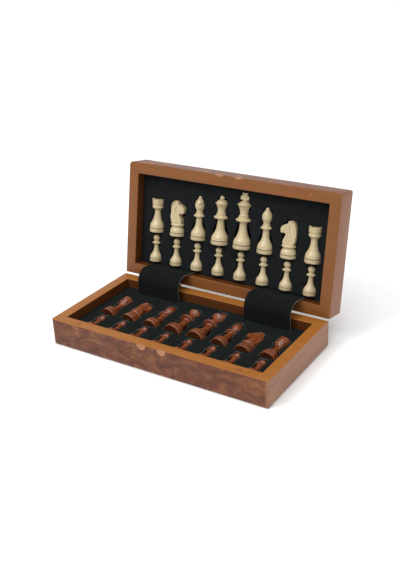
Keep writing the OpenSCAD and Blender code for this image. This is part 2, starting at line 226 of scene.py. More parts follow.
class Value:
    """A shader socket on which Python's operators add Math nodes."""

    def __init__(self, graph: "Graph", socket: bpy.types.NodeSocket) -> None:
        """Wraps one output socket of a graph."""
        self.graph = graph
        self.socket = socket

    def _math(self, operation: str, first: "Value | float", second: "Value | float") -> "Value":
        """Adds one Math node and gives its result."""
        return self.graph.node("ShaderNodeMath", {"operation": operation}, {0: first, 1: second})

    def __add__(self, other: "Value | float") -> "Value":
        """self + other."""
        return self._math("ADD", self, other)

    def __radd__(self, other: float) -> "Value":
        """other + self."""
        return self._math("ADD", other, self)

    def __sub__(self, other: "Value | float") -> "Value":
        """self - other."""
        return self._math("SUBTRACT", self, other)

    def __rsub__(self, other: float) -> "Value":
        """other - self."""
        return self._math("SUBTRACT", other, self)

    def __mul__(self, other: "Value | float") -> "Value":
        """self * other."""
        return self._math("MULTIPLY", self, other)

    def __rmul__(self, other: float) -> "Value":
        """other * self."""
        return self._math("MULTIPLY", other, self)

    def __gt__(self, other: "Value | float") -> "Value":
        """1 where self is above other, and 0 elsewhere."""
        return self._math("GREATER_THAN", self, other)

    def centred(self) -> "Value":
        """A noise moved down so that its mean is 0."""
        return self - 0.5


class Graph:
    """The node tree of one material."""

    def __init__(self, name: str) -> None:
        """Starts an empty material of that name."""
        self.material = bpy.data.materials.new(name)
        self.material.use_nodes = True
        self.tree = self.material.node_tree
        self.tree.nodes.clear()

    def add(self, kind: str, settings: dict | None = None,
            sockets: dict | None = None) -> bpy.types.Node:
        """Adds one node.

        Args:
            kind: the node's type.
            settings: its properties, set first; ``stops`` is a colour ramp's list of
                (position, colour).
            sockets: values or links of its input sockets, by name or number.

        Returns:
            The node.
        """
        node = self.tree.nodes.new(kind)
        for name, value in (settings or {}).items():
            if name == "stops":
                self._set_stops(node.color_ramp, value)
            else:
                setattr(node, name, value)
        for name, value in (sockets or {}).items():
            if isinstance(value, Value):
                self.tree.links.new(value.socket, node.inputs[name])
            else:
                node.inputs[name].default_value = value
        return node

    def node(self, kind: str, settings: dict | None = None, sockets: dict | None = None,
             output: int | str = 0) -> Value:
        """Adds one node, as ``add`` does, and gives one of its outputs by name or number."""
        return Value(self, self.add(kind, settings, sockets).outputs[output])

    @staticmethod
    def _set_stops(ramp: bpy.types.ColorRamp, stops: Sequence[tuple[float, Colour]]) -> None:
        """Gives a colour ramp its stops."""
        while len(ramp.elements) < len(stops):
            ramp.elements.new(0.5)
        for element, (position, colour) in zip(ramp.elements, stops):
            element.position = position
            element.color = (*colour, 1.0)

    def half_coordinates(self, place: Place) -> Value:
        """Gives object coordinates turned into a half's own, so that a pattern lies in its plane."""
        here = self.node("ShaderNodeTexCoord", output="Object")
        return self.node("ShaderNodeMapping", {"vector_type": "POINT"},
                         {"Vector": here, "Location": place.pattern_shift(),
                          "Rotation": (place.tilt, 0.0, 0.0)})

    def scaled(self, vector: Value, scale: Sequence[float]) -> Value:
        """Multiplies a vector by a scale for each axis."""
        return self.node("ShaderNodeVectorMath", {"operation": "MULTIPLY"},
                         {0: vector, 1: tuple(scale)})

    def warped(self, vector: Value, size: float, reach: float) -> Value:
        """Pushes a vector about by a smooth noise.

        Args:
            vector: the coordinates.
            size: the noise's size in metres.
            reach: how far a point is pushed, in metres.

        Returns:
            The pushed coordinates.
        """
        push = self.node("ShaderNodeTexNoise", None,
                         {"Vector": vector, "Scale": 1 / size, "Detail": 2.0}, "Color")
        centred = self.node("ShaderNodeVectorMath", {"operation": "SUBTRACT"},
                            {0: push, 1: (0.5, 0.5, 0.5)})
        reached = self.scaled(centred, (2 * reach,) * 3)
        return self.node("ShaderNodeVectorMath", {"operation": "ADD"}, {0: vector, 1: reached})

    def noise(self, vector: Value, size: float, detail: float = 3.0, roughness: float = 0.55,
              distortion: float = 0.0) -> Value:
        """Gives a noise whose cells are ``size`` metres, between about 0 and 1."""
        return self.node("ShaderNodeTexNoise", None,
                         {"Vector": vector, "Scale": 1 / size, "Detail": detail,
                          "Roughness": roughness, "Distortion": distortion}, "Fac")

    def ramp(self, factor: Value, stops: Sequence[tuple[float, Colour]]) -> Value:
        """Turns a number into a colour along a list of stops."""
        return self.node("ShaderNodeValToRGB", {"stops": stops}, {"Fac": factor}, "Color")

    def mix(self, factor: Value, first: "Value | Colour", second: "Value | Colour") -> Value:
        """Mixes two colours."""
        first, second = (c if isinstance(c, Value) else (*c, 1.0) for c in (first, second))
        return self.node("ShaderNodeMix", {"data_type": "RGBA"},
                         {0: factor, 6: first, 7: second}, 2)

    def bump(self, height: Value, distance: float) -> Value:
        """Gives a normal that is raised by a height of at most ``distance`` metres."""
        return self.node("ShaderNodeBump", None,
                         {"Height": height, "Distance": distance, "Strength": 1.0}, "Normal")

    def surface(self, **sockets: "Value | float | Colour") -> Material:
        """Ends the tree in a Principled shader.

        Args:
            sockets: the shader's inputs, with underscores for the spaces of their names.

        Returns:
            The finished material.
        """
        named = {name.replace("_", " "): value for name, value in sockets.items()}
        for name, value in named.items():
            if isinstance(value, tuple):
                named[name] = (*value, 1.0)
        shader = self.node("ShaderNodeBsdfPrincipled", None, named, "BSDF")
        self.add("ShaderNodeOutputMaterial", None, {"Surface": shader})
        return self.material


# ---- Finishes ---------------------------------------------------------------------------------

# Where the ends of a colour range lie on a ramp, so that few spots reach them
RAMP_START, RAMP_END = 0.05, 0.95
# Scale of a Wave node whose dark and light lines are each a metre wide
WAVE_SCALE = 0.157


@dataclass(frozen=True)
class WoodFinish:
    """A straight-grained, lacquered wood.

    Attributes:
        name: the material's name.
        slot: name of the material slot.
        dark, light: the ends of its colour range.
        tint: a colour that broad clouds lean to.
        grain: the axis the fibres run along.
        fibre: width of the fibres.
        band: width of the growth bands.
        stretch: how many times longer than wide the figure is.
        contrast: how strongly bands and fibres show, 1 for the whole colour range.
        pores: how dark the pores are, 0 for none.
        roughness: of the lacquer.
        gloss: strength of its reflection, 0.5 for plain varnish.
        coat: weight of the gloss coat.
        relief: depth of the grain.
        soaked: share of its brightness that is left on the bottoms and in the grooves of turned
            pieces: painted shade, over the end grain's own darker tone.
        spread: how much the roughness varies with the grain.
        band_weight, fibre_weight: how much bands and fibres move the colour along its range.
        cloud_start, cloud_gain: the noise at which a cloud's tint starts, and how fast it grows.
        pore_level: the noise above which there is a pore.
        pore_shade: brightness of a pore, as a share of the dark colour's.
    """

    name: str
    slot: str
    dark: Colour
    light: Colour
    tint: Colour
    grain: Grain = Grain.ALONG_BOX
    fibre: float = 0.5 * MM
    band: float = 5.0 * MM
    stretch: float = 14.0
    contrast: float = 1.0
    pores: float = 0.35
    roughness: float = 0.4
    gloss: float = 0.25
    coat: float = 0.06
    relief: float = 0.04 * MM
    soaked: float = 0.6
    spread: float = 0.18
    band_weight: float = 2.2
    fibre_weight: float = 0.8
    cloud_start: float = 0.35
    cloud_gain: float = 1.1
    pore_level: float = 0.64
    pore_shade: float = 0.35

    def end_grain(self) -> "WoodFinish":
        """Gives the same wood darker and without a coat, for bottoms and grooves: painted shade,
        over the end grain's own darker tone.
        """
        dark, light, tint = (tuple(self.soaked * part for part in colour)
                             for colour in (self.dark, self.light, self.tint))
        return replace(self, name=f"{self.name}_end", dark=dark, light=light, tint=tint, coat=0.0,
                       gloss=self.soaked * self.gloss)

    def figure(self, graph: Graph, here: Value) -> tuple[Value, Value]:
        """Adds the wood's colour and the height of its grain to a graph."""
        along = [1.0, 1.0, 1.0]
        along[self.grain.value] = 1 / self.stretch
        drawn_out = graph.scaled(graph.warped(here, 12 * self.band, 0.5 * self.band), along)
        bands = graph.noise(drawn_out, self.band, detail=4.0, distortion=0.6)
        fibres = graph.noise(drawn_out, self.fibre, roughness=0.65)
        clouds = graph.noise(here, 9 * self.band, detail=2.0)
        figure = (bands.centred() * (self.band_weight * self.contrast)
                  + fibres.centred() * (self.fibre_weight * self.contrast) + 0.5)
        colour = graph.ramp(figure, [(RAMP_START, self.dark), (RAMP_END, self.light)])
        colour = graph.mix((clouds - self.cloud_start) * self.cloud_gain, colour, self.tint)
        along[self.grain.value] *= 2
        streaks = graph.noise(graph.scaled(here, along), 1.6 * self.fibre, detail=1.0)
        pore = (streaks > self.pore_level) * self.pores
        shade = tuple(self.pore_shade * part for part in self.dark)
        return graph.mix(pore, colour, shade), fibres - pore

    def material(self, place: Place) -> Material:
        """Builds the wood for one half of the box, its grain lying in that half's plane."""
        graph = Graph(f"{self.name}_{place.body}")
        colour, height = self.figure(graph, graph.half_coordinates(place))
        return graph.surface(
            Base_Color=colour, Roughness=height.centred() * self.spread + self.roughness,
            Coat_Weight=self.coat, Coat_Roughness=0.12, Specular_IOR_Level=self.gloss,
            Normal=graph.bump(height, self.relief))


@dataclass(frozen=True)
class BurlFinish:
    """A burl veneer with clouds, swirling lines and small eyes, wrapped by a straight one.

    Attributes:
        name: the material's name.
        slot: name of the material slot.
        dark, middle, light: the colours from the eyes to the bright clouds.
        mauve: the colour that the broad patches lean to.
        cloud: size of the clouds.
        swirl: size of the swirls that the lines follow.
        line: width of a dark or a light line.
        roughness: of the lacquer.
        relief: depth of the grain.
        spread: how much the roughness varies with the figure.
        ends: the straight veneer that takes over round the corners, lighter and pinker than the
            burl, partly its own tone and partly a painted sheen.
        corner: distances from the half's ends where it has taken over and where it starts.
        cloud_weight, line_weight, mottle_weight: how much each moves the colour along its range.
        patch_start, patch_gain: the noise at which a mauve patch starts, and how fast it grows.
        eye_size: size of the cells that hold one eye, as a share of a cloud's.
        eye_fade: how fast an eye fades outwards.
        eye_depth: how dark the middle of an eye is.
    """

    name: str
    slot: str
    dark: Colour
    middle: Colour
    light: Colour
    mauve: Colour
    ends: WoodFinish
    line: float = 3.2 * MM
    cloud: float = 24 * MM
    swirl: float = 36 * MM
    roughness: float = 0.36
    relief: float = 0.03 * MM
    spread: float = 0.16
    corner: tuple[float, float] = (1.0 * MM, 6.5 * MM)
    cloud_weight: float = 2.1
    line_weight: float = 0.14
    mottle_weight: float = 0.4
    patch_start: float = 0.3
    patch_gain: float = 1.4
    eye_size: float = 0.55
    eye_fade: float = 7.0
    eye_depth: float = 0.6

    def material(self, place: Place, half_length: float) -> Material:
        """Builds the veneer for one half of the box.

        Args:
            place: the half.
            half_length: distance from its middle to its ends.

        Returns:
            The material.
        """
        graph = Graph(f"{self.name}_{place.body}")
        here = graph.half_coordinates(place)
        flattened = graph.scaled(here, (0.75, 1.0, 1.0))
        swirled = graph.warped(graph.warped(flattened, self.swirl, 0.6 * self.swirl),
                               0.35 * self.swirl, 0.12 * self.swirl)
        clouds = graph.noise(swirled, self.cloud, detail=5.0, distortion=1.0)
        lines = graph.node("ShaderNodeTexWave", {"wave_type": "BANDS", "bands_direction": "Z"},
                           {"Vector": swirled, "Scale": WAVE_SCALE / self.line,
                            "Distortion": 3.0, "Detail": 3.0, "Detail Scale": 1.4}, "Fac")
        mottle = graph.noise(swirled, 0.22 * self.cloud, detail=4.0, roughness=0.7)
        patches = graph.noise(here, 2.2 * self.cloud, detail=2.0)
        figure = (clouds.centred() * self.cloud_weight + lines.centred() * self.line_weight
                  + mottle.centred() * self.mottle_weight + 0.5)
        colour = graph.ramp(figure, [(RAMP_START, self.dark), (0.5, self.middle),
                                     (RAMP_END, self.light)])
        colour = graph.mix((patches - self.patch_start) * self.patch_gain, colour, self.mauve)
        colour = graph.mix(self.eyes(graph, swirled), colour, self.dark)
        straight, grain = self.ends.figure(graph, here)
        colour = graph.mix(self.round_corner(graph, here, half_length), colour, straight)
        return graph.surface(
            Base_Color=colour, Roughness=mottle.centred() * self.spread + self.roughness,
            Coat_Weight=0.06, Coat_Roughness=0.14, Specular_IOR_Level=0.25,
            Normal=graph.bump(mottle + grain * 0.5, self.relief))

    def eyes(self, graph: Graph, swirled: Value) -> Value:
        """Gives the darkness of the small eyes, over coordinates that follow the swirls."""
        from_eye = graph.node("ShaderNodeTexVoronoi", {"feature": "F1"},
                              {"Vector": swirled, "Scale": 1 / (self.eye_size * self.cloud)},
                              "Distance")
        return graph.node("ShaderNodeClamp", None,
                          {0: (1 - from_eye * self.eye_fade) * self.eye_depth,
                           1: 0.0, 2: self.eye_depth})

    def round_corner(self, graph: Graph, here: Value, half_length: float) -> Value:
        """Gives the share of the straight veneer, from 0 on the faces to 1 round the corners."""
        full, none = (half_length - distance for distance in self.corner)
        from_middle = graph.node("ShaderNodeMath", {"operation": "ABSOLUTE"},
                                 {0: graph.node("ShaderNodeSeparateXYZ", None, {0: here}, "X")})
        return graph.node("ShaderNodeMapRange", {"interpolation_type": "SMOOTHSTEP"},
                          {"Value": from_middle, "From Min": none, "From Max": full})


@dataclass(frozen=True)
class FlockFinish:
    """A matt pile of short fibres, as on the padding and the straps.

    Attributes:
        name: the material's name.
        slot: name of the material slot.
        pile: colour between the fibres.
        tips: colour of the fibres' tips.
        fibre: size of one tuft.
        relief: height of the pile.
        roughness: of the pile.
        tuft_weight, stroke_weight: how much tufts and strokes move the colour along its range.
    """

    name: str
    slot: str
    pile: Colour
    tips: Colour
    fibre: float = 0.35 * MM
    relief: float = 0.12 * MM
    roughness: float = 0.93
    tuft_weight: float = 0.75
    stroke_weight: float = 0.35

    def material(self, place: Place) -> Material:
        """Builds the pile."""
        graph = Graph(f"{self.name}_{place.body}")
        here = graph.half_coordinates(place)
        tufts = graph.noise(here, self.fibre, detail=2.0, roughness=0.7)
        strokes = graph.noise(here, 30 * self.fibre)
        colour = graph.ramp(tufts * self.tuft_weight + strokes * self.stroke_weight,
                            [(0.3, self.pile), (0.8, self.tips)])
        return graph.surface(
            Base_Color=colour, Roughness=strokes.centred() * 0.1 + self.roughness,
            Specular_IOR_Level=0.04, Sheen_Weight=0.015, Sheen_Roughness=0.6,
            Normal=graph.bump(tufts, self.relief))


@dataclass(frozen=True)
class MetalFinish:
    """A brushed metal with fine scratches and a little tarnish.

    Attributes:
        name: the material's name.
        slot: name of the material slot.
        bright: colour where it is clean.
        tarnish: colour where it is dull.
        roughness: of the clean metal.
        stain_start, stain_gain: the noise at which a stain starts, and how fast it grows.
    """

    name: str
    slot: str
    bright: Colour
    tarnish: Colour
    roughness: float = 0.28
    stain_start: float = 0.4
    stain_gain: float = 2.2

    def material(self, place: Place) -> Material:
        """Builds the metal."""
        graph = Graph(f"{self.name}_{place.body}")
        here = graph.half_coordinates(place)
        brushed = graph.noise(graph.scaled(here, (0.06, 1.0, 1.0)), 0.12 * MM, detail=2.0)
        stains = graph.noise(here, 4 * MM, detail=4.0)
        colour = graph.mix((stains - self.stain_start) * self.stain_gain, self.bright, self.tarnish)
        rough = stains.centred() * 0.3 + brushed.centred() * 0.2 + self.roughness
        return graph.surface(Base_Color=colour, Metallic=1.0, Roughness=rough,
                             Normal=graph.bump(brushed, 0.01 * MM))


@dataclass(frozen=True)
class HalfFinishes:
    """The finishes that each half of the box has its own copy of: the same veneer, rim wood and
    padding, lighter or darker by painted light and shade.

    Attributes:
        case: the veneer round the half.
        rim: the top of the rails.
        flock: the padding.
        cut: the lips of the padding's pockets, which in the base are lighter as a painted highlight.
    """

    case: BurlFinish
    rim: WoodFinish
    flock: FlockFinish
    cut: FlockFinish


@dataclass(frozen=True)
class Finishes:
    """Every finish on the object."""

    # Each pair of base and lid finishes is one material, lit and shaded differently: the lid's
    # veneer lighter as a painted highlight, its rim darker as painted shade, its padding lighter
    # than the base's
    base_case: BurlFinish = BurlFinish(
        "case_veneer", "case_veneer", dark=(0.046, 0.0121, 0.0056), middle=(0.134, 0.041, 0.0162),
        light=(0.267, 0.099, 0.035), mauve=(0.106, 0.032, 0.0174),
        # The straight end veneer is lighter and pinker: partly its own tone, partly a painted sheen
        ends=WoodFinish("end_veneer", "case_veneer", dark=(0.2, 0.085, 0.043),
                        light=(0.37, 0.175, 0.095), tint=(0.3, 0.137, 0.078),
                        grain=Grain.TOWARDS_HINGE, band=4 * MM, contrast=0.6))
    lid_case: BurlFinish = BurlFinish(
        "case_veneer", "case_veneer", dark=(0.072, 0.023, 0.0115), middle=(0.182, 0.066, 0.031),
        light=(0.32, 0.13, 0.058), mauve=(0.16, 0.06, 0.036),
        # The straight end veneer is lighter and pinker: partly its own tone, partly a painted sheen
        ends=WoodFinish("end_veneer", "case_veneer", dark=(0.19, 0.071, 0.031),
                        light=(0.32, 0.13, 0.06), tint=(0.272, 0.11, 0.054),
                        grain=Grain.TOWARDS_HINGE, band=4 * MM, contrast=0.6))
    board: WoodFinish = WoodFinish(
        "board_veneer", "case_veneer", dark=(0.12, 0.04, 0.022), light=(0.3, 0.125, 0.065),
        tint=(0.24, 0.095, 0.06), band=4.5 * MM)
    base_rim: WoodFinish = WoodFinish(
        "rim_wood", "case_veneer", dark=(0.243, 0.078, 0.0091), light=(0.352, 0.135, 0.026),
        tint=(0.302, 0.112, 0.023), band=7 * MM, contrast=0.4, pores=0.12)
    lid_rim: WoodFinish = WoodFinish(
        "rim_wood", "case_veneer", dark=(0.162, 0.056, 0.0132), light=(0.243, 0.091, 0.027),
        tint=(0.202, 0.076, 0.023), band=7 * MM, contrast=0.4, pores=0.12)
    # The rails' inner walls: the rim's wood, darkened as painted shade that falls between the rails
    # and the padding
    inside: WoodFinish = WoodFinish(
        "inside_wood_painted_shade", "case_veneer", dark=(0.065, 0.0176, 0.0032), light=(0.104, 0.031, 0.0063),
        tint=(0.082, 0.025, 0.0053), band=6 * MM, contrast=0.6, pores=0.15)
    # Exposed wood of the finger scoops, made lighter than the veneer as a painted highlight on it
    bare: WoodFinish = WoodFinish(
        "scoop_wood", "case_veneer", dark=(0.27, 0.115, 0.055), light=(0.42, 0.2, 0.105),
        tint=(0.35, 0.155, 0.08), band=3 * MM, contrast=0.6, pores=0.1)
    maple: WoodFinish = WoodFinish(
        "maple_inlay", "light_inlay", dark=(0.46, 0.28, 0.12), light=(0.66, 0.46, 0.24),
        tint=(0.56, 0.38, 0.18), band=4 * MM, contrast=0.6, pores=0.08)
    walnut: WoodFinish = WoodFinish(
        "walnut_inlay", "dark_inlay", dark=(0.045, 0.018, 0.01), light=(0.17, 0.075, 0.038),
        tint=(0.1, 0.042, 0.024), band=3.5 * MM)
    boxwood: WoodFinish = WoodFinish(
        "boxwood", "boxwood", dark=(0.429, 0.327, 0.174), light=(0.598, 0.499, 0.306),
        tint=(0.536, 0.437, 0.257), grain=Grain.TOWARDS_HINGE, fibre=0.3 * MM, band=2.4 * MM,
        contrast=0.5, pores=0.04, roughness=0.36, gloss=0.4, coat=0.25, relief=0.015 * MM,
        soaked=0.7)
    rosewood: WoodFinish = WoodFinish(
        "rosewood", "rosewood", dark=(0.062, 0.0105, 0.0035), light=(0.29, 0.079, 0.022),
        tint=(0.15, 0.032, 0.0097), grain=Grain.TOWARDS_HINGE, fibre=0.3 * MM, band=2.6 * MM,
        contrast=0.75, pores=0.08, roughness=0.24, gloss=0.38, coat=0.4, relief=0.01 * MM,
        soaked=0.3)
    base_flock: FlockFinish = FlockFinish(
        "tray_flock", "tray_lining", pile=(0.0026, 0.0041, 0.0038), tips=(0.0103, 0.0132, 0.0116))
    lid_flock: FlockFinish = FlockFinish(
        "tray_flock", "tray_lining", pile=(0.0044, 0.0051, 0.0056), tips=(0.0156, 0.0175, 0.0193))
    # Light grey for the base's pocket lips: a painted highlight where light catches their rounded
    # edges
    cut_foam: FlockFinish = FlockFinish(
        "cut_foam", "tray_lining", pile=(0.05, 0.06, 0.062), tips=(0.11, 0.124, 0.128))
    velvet: FlockFinish = FlockFinish(
        "strap_velvet", "strap_cloth", pile=(0.0028, 0.0034, 0.0034), tips=(0.0103, 0.012, 0.0118),
        fibre=0.3 * MM)
    hem: FlockFinish = FlockFinish(
        "strap_edge", "strap_cloth", pile=(0.14, 0.12, 0.1), tips=(0.4, 0.36, 0.31),
        fibre=0.5 * MM)
    brass: MetalFinish = MetalFinish(
        "brass", "brass", bright=(0.78, 0.55, 0.2), tarnish=(0.42, 0.27, 0.1))
    capped: WoodFinish = WoodFinish(
        "magnet_cap", "magnet", dark=(0.21, 0.072, 0.014), light=(0.3, 0.112, 0.03),
        tint=(0.25, 0.092, 0.026), band=5 * MM, contrast=0.4, pores=0.1)

    def half(self, body: str) -> HalfFinishes:
        """Gives the finishes of the half that is called ``base`` or ``lid``."""
        if body == "base":
            return HalfFinishes(self.base_case, self.base_rim, self.base_flock, self.cut_foam)
        return HalfFinishes(self.lid_case, self.lid_rim, self.lid_flock, self.lid_flock)


# ---- Mesh tools -------------------------------------------------------------------------------


def merged_copy(node: str, back: Matrix) -> Mesh:
    """Copies a CAD node's mesh and joins its loose triangles into flat faces.

    Args:
        node: the node's name.
        back: the matrix that takes it to the coordinates it is worked in.

    Returns:
        The copy.
    """
    copy = bmesh.new()
    copy.from_mesh(frame["nodes"][node].data)
    copy.transform(back)
    if back.determinant() < 0:
        bmesh.ops.reverse_faces(copy, faces=copy.faces)
    bmesh.ops.remove_doubles(copy, verts=copy.verts, dist=0.004 * MM)
    bmesh.ops.dissolve_limit(copy, angle_limit=math.radians(0.3), verts=copy.verts,
                             edges=copy.edges)
    copy.normal_update()
    return copy


def spun(profile: Iterable[tuple[float, float]], steps: int) -> Mesh:
    """Turns a profile about the Z axis, as on a lathe.

    Args:
        profile: (radius, height) of its points, from the bottom middle to the top middle.
        steps: faces round the axis.

    Returns:
        A closed mesh.
    """
    turned = bmesh.new()
    chain = [turned.verts.new((radius, 0.0, height)) for radius, height in profile]
    for first, second in zip(chain, chain[1:]):
        turned.edges.new((first, second))
    bmesh.ops.spin(turned, geom=turned.verts[:] + turned.edges[:], cent=(0, 0, 0),
                   axis=(0, 0, 1), angle=2 * math.pi, steps=steps, use_merge=True,
                   use_duplicate=False)
    bmesh.ops.remove_doubles(turned, verts=turned.verts, dist=0.002 * MM)
    bmesh.ops.recalc_face_normals(turned, faces=turned.faces)
    return turned


def slab(outline: Sequence[tuple[float, float]], thickness: float) -> Mesh:
    """Extrudes an outline in the XZ plane, half of the thickness to each side.

    Args:
        outline: (x, z) of its corners, in order.
        thickness: along Y.

    Returns:
        A closed mesh.
    """
    cut = bmesh.new()
    face = cut.faces.new([cut.verts.new((x, -thickness / 2, z)) for x, z in outline])
    pushed = bmesh.ops.extrude_face_region(cut, geom=[face])["geom"]
    moved = [part for part in pushed if isinstance(part, bmesh.types.BMVert)]
    bmesh.ops.translate(cut, verts=moved, vec=(0, thickness, 0))
    bmesh.ops.recalc_face_normals(cut, faces=cut.faces)
    return cut


def block(matrix: Matrix) -> Mesh:
    """Makes a cube of unit size and moves it."""
    cube = bmesh.new()
    bmesh.ops.create_cube(cube, size=1.0)
    cube.transform(matrix)
    return cube


def rounded(mesh: Mesh, edges: Sequence[bmesh.types.BMEdge], radius: float, segments: int,
            clamp: bool = False) -> list[bmesh.types.BMFace]:
    """Rounds edges of a mesh.

    Args:
        mesh: the mesh.
        edges: the edges.
        radius: how far back from the edge the rounding starts.
        segments: faces across it.
        clamp: whether roundings that would meet are made smaller.

    Returns:
        The faces of the rounding.
    """
    made = bmesh.ops.bevel(mesh, geom=edges, offset=radius, segments=segments, profile=0.5,
                           affect="EDGES", material=-1, clamp_overlap=clamp)
    return made["faces"]


def is_sharp(edge: bmesh.types.BMEdge, turn: float = 30.0) -> bool:
    """Tells whether two faces meet at an edge and turn by more than some degrees there."""
    return len(edge.link_faces) == 2 and edge.calc_face_angle(0.0) > math.radians(turn)


def joined(parts: Sequence[Mesh]) -> Mesh:
    """Puts several meshes into the first one and frees the others."""
    whole = parts[0]
    for part in parts[1:]:
        carrier = bpy.data.meshes.new("carrier")
        part.to_mesh(carrier)
        part.free()
        whole.from_mesh(carrier)
        bpy.data.meshes.remove(carrier)
    return whole


def drafted(name: str, mesh: Mesh) -> bpy.types.Object:
    """Makes a temporary object of a mesh, which it frees."""
    data = bpy.data.meshes.new(name)
    mesh.to_mesh(data)
    mesh.free()
    draft = bpy.data.objects.new(name, data)
    bpy.context.scene.collection.objects.link(draft)
    return draft


def modified(mesh: Mesh, steps: Sequence[tuple[str, dict]]) -> Mesh:
    """Runs modifiers over a mesh.

    Args:
        mesh: the mesh, which is freed.
        steps: each modifier's type and its settings.

    Returns:
        The result.
    """
    draft = drafted("draft", mesh)
    for kind, settings in steps:
        modifier = draft.modifiers.new(kind.lower(), kind)
        for name, value in settings.items():
            setattr(modifier, name, value)
    shown = draft.evaluated_get(bpy.context.evaluated_depsgraph_get())
    result = bmesh.new()
    result.from_mesh(shown.to_mesh())
    shown.to_mesh_clear()
    bpy.data.objects.remove(draft)
    return result


def carved(mesh: Mesh, cutters: Sequence[Mesh]) -> Mesh:
    """Cuts closed meshes out of another, and frees them all."""
    tool = drafted("tool", joined(cutters))
    result = modified(mesh, [("BOOLEAN", {"operation": "DIFFERENCE", "solver": "EXACT",
                                          "use_self": True, "object": tool})])
    bpy.data.objects.remove(tool)
    return result


def publish(name: str, mesh: Mesh, materials: Sequence[Material],
            crease: float = 35.0) -> bpy.types.Object:
    """Makes a finished piece of a mesh: smooth faces, sharp edges kept, at the origin.

    Args:
        name: the piece's name.
        mesh: the mesh in world coordinates, which is freed.
        materials: its materials, in the order of its faces' numbers.
        crease: edges that turn by more than this many degrees stay sharp.

    Returns:
        The piece.
    """
    mesh.normal_update()
    for face in mesh.faces:
        face.smooth = True
    for edge in mesh.edges:
        edge.smooth = len(edge.link_faces) == 2 and edge.calc_face_angle(0.0) < math.radians(crease)
    piece = drafted(name, mesh)
    for material in materials:
        piece.data.materials.append(material)
    log.info("%s: %d faces", name, len(piece.data.polygons))
    return piece


def moved(mesh: Mesh, matrix: Matrix) -> Mesh:
    """Moves a mesh, and turns its faces outwards again if the matrix mirrors it."""
    mesh.transform(matrix)
    if matrix.determinant() < 0:
        bmesh.ops.reverse_faces(mesh, faces=mesh.faces)
    return mesh


def fasten(piece: bpy.types.Object, body: str, slot: str, node: str) -> None:
    """Lets a piece ride on a body and hides the CAD node that it stands in for."""
    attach(piece, body)
    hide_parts(node)


def dress(node: str, finish: "WoodFinish | MetalFinish", place: Place) -> None:
    """Gives its material to a CAD node that keeps its shape."""
    piece = frame["nodes"][node]
    piece.data.materials.clear()
    piece.data.materials.append(finish.material(place))
    log.info("%s: dressed", node)


# ---- Case -------------------------------------------------------------------------------------

# How far up or down a face has to point to count as level, at least, or as upright, at most
LEVEL, UPRIGHT = 0.98, 0.02
# A face whose normal has more of an axis than this points mostly along it
MOSTLY = 0.7
# The same for a face that may be part of a rounding
NEARLY = 0.9
# X and Y of a mitre's normal differ in size by less than this
DIAGONAL = 0.01


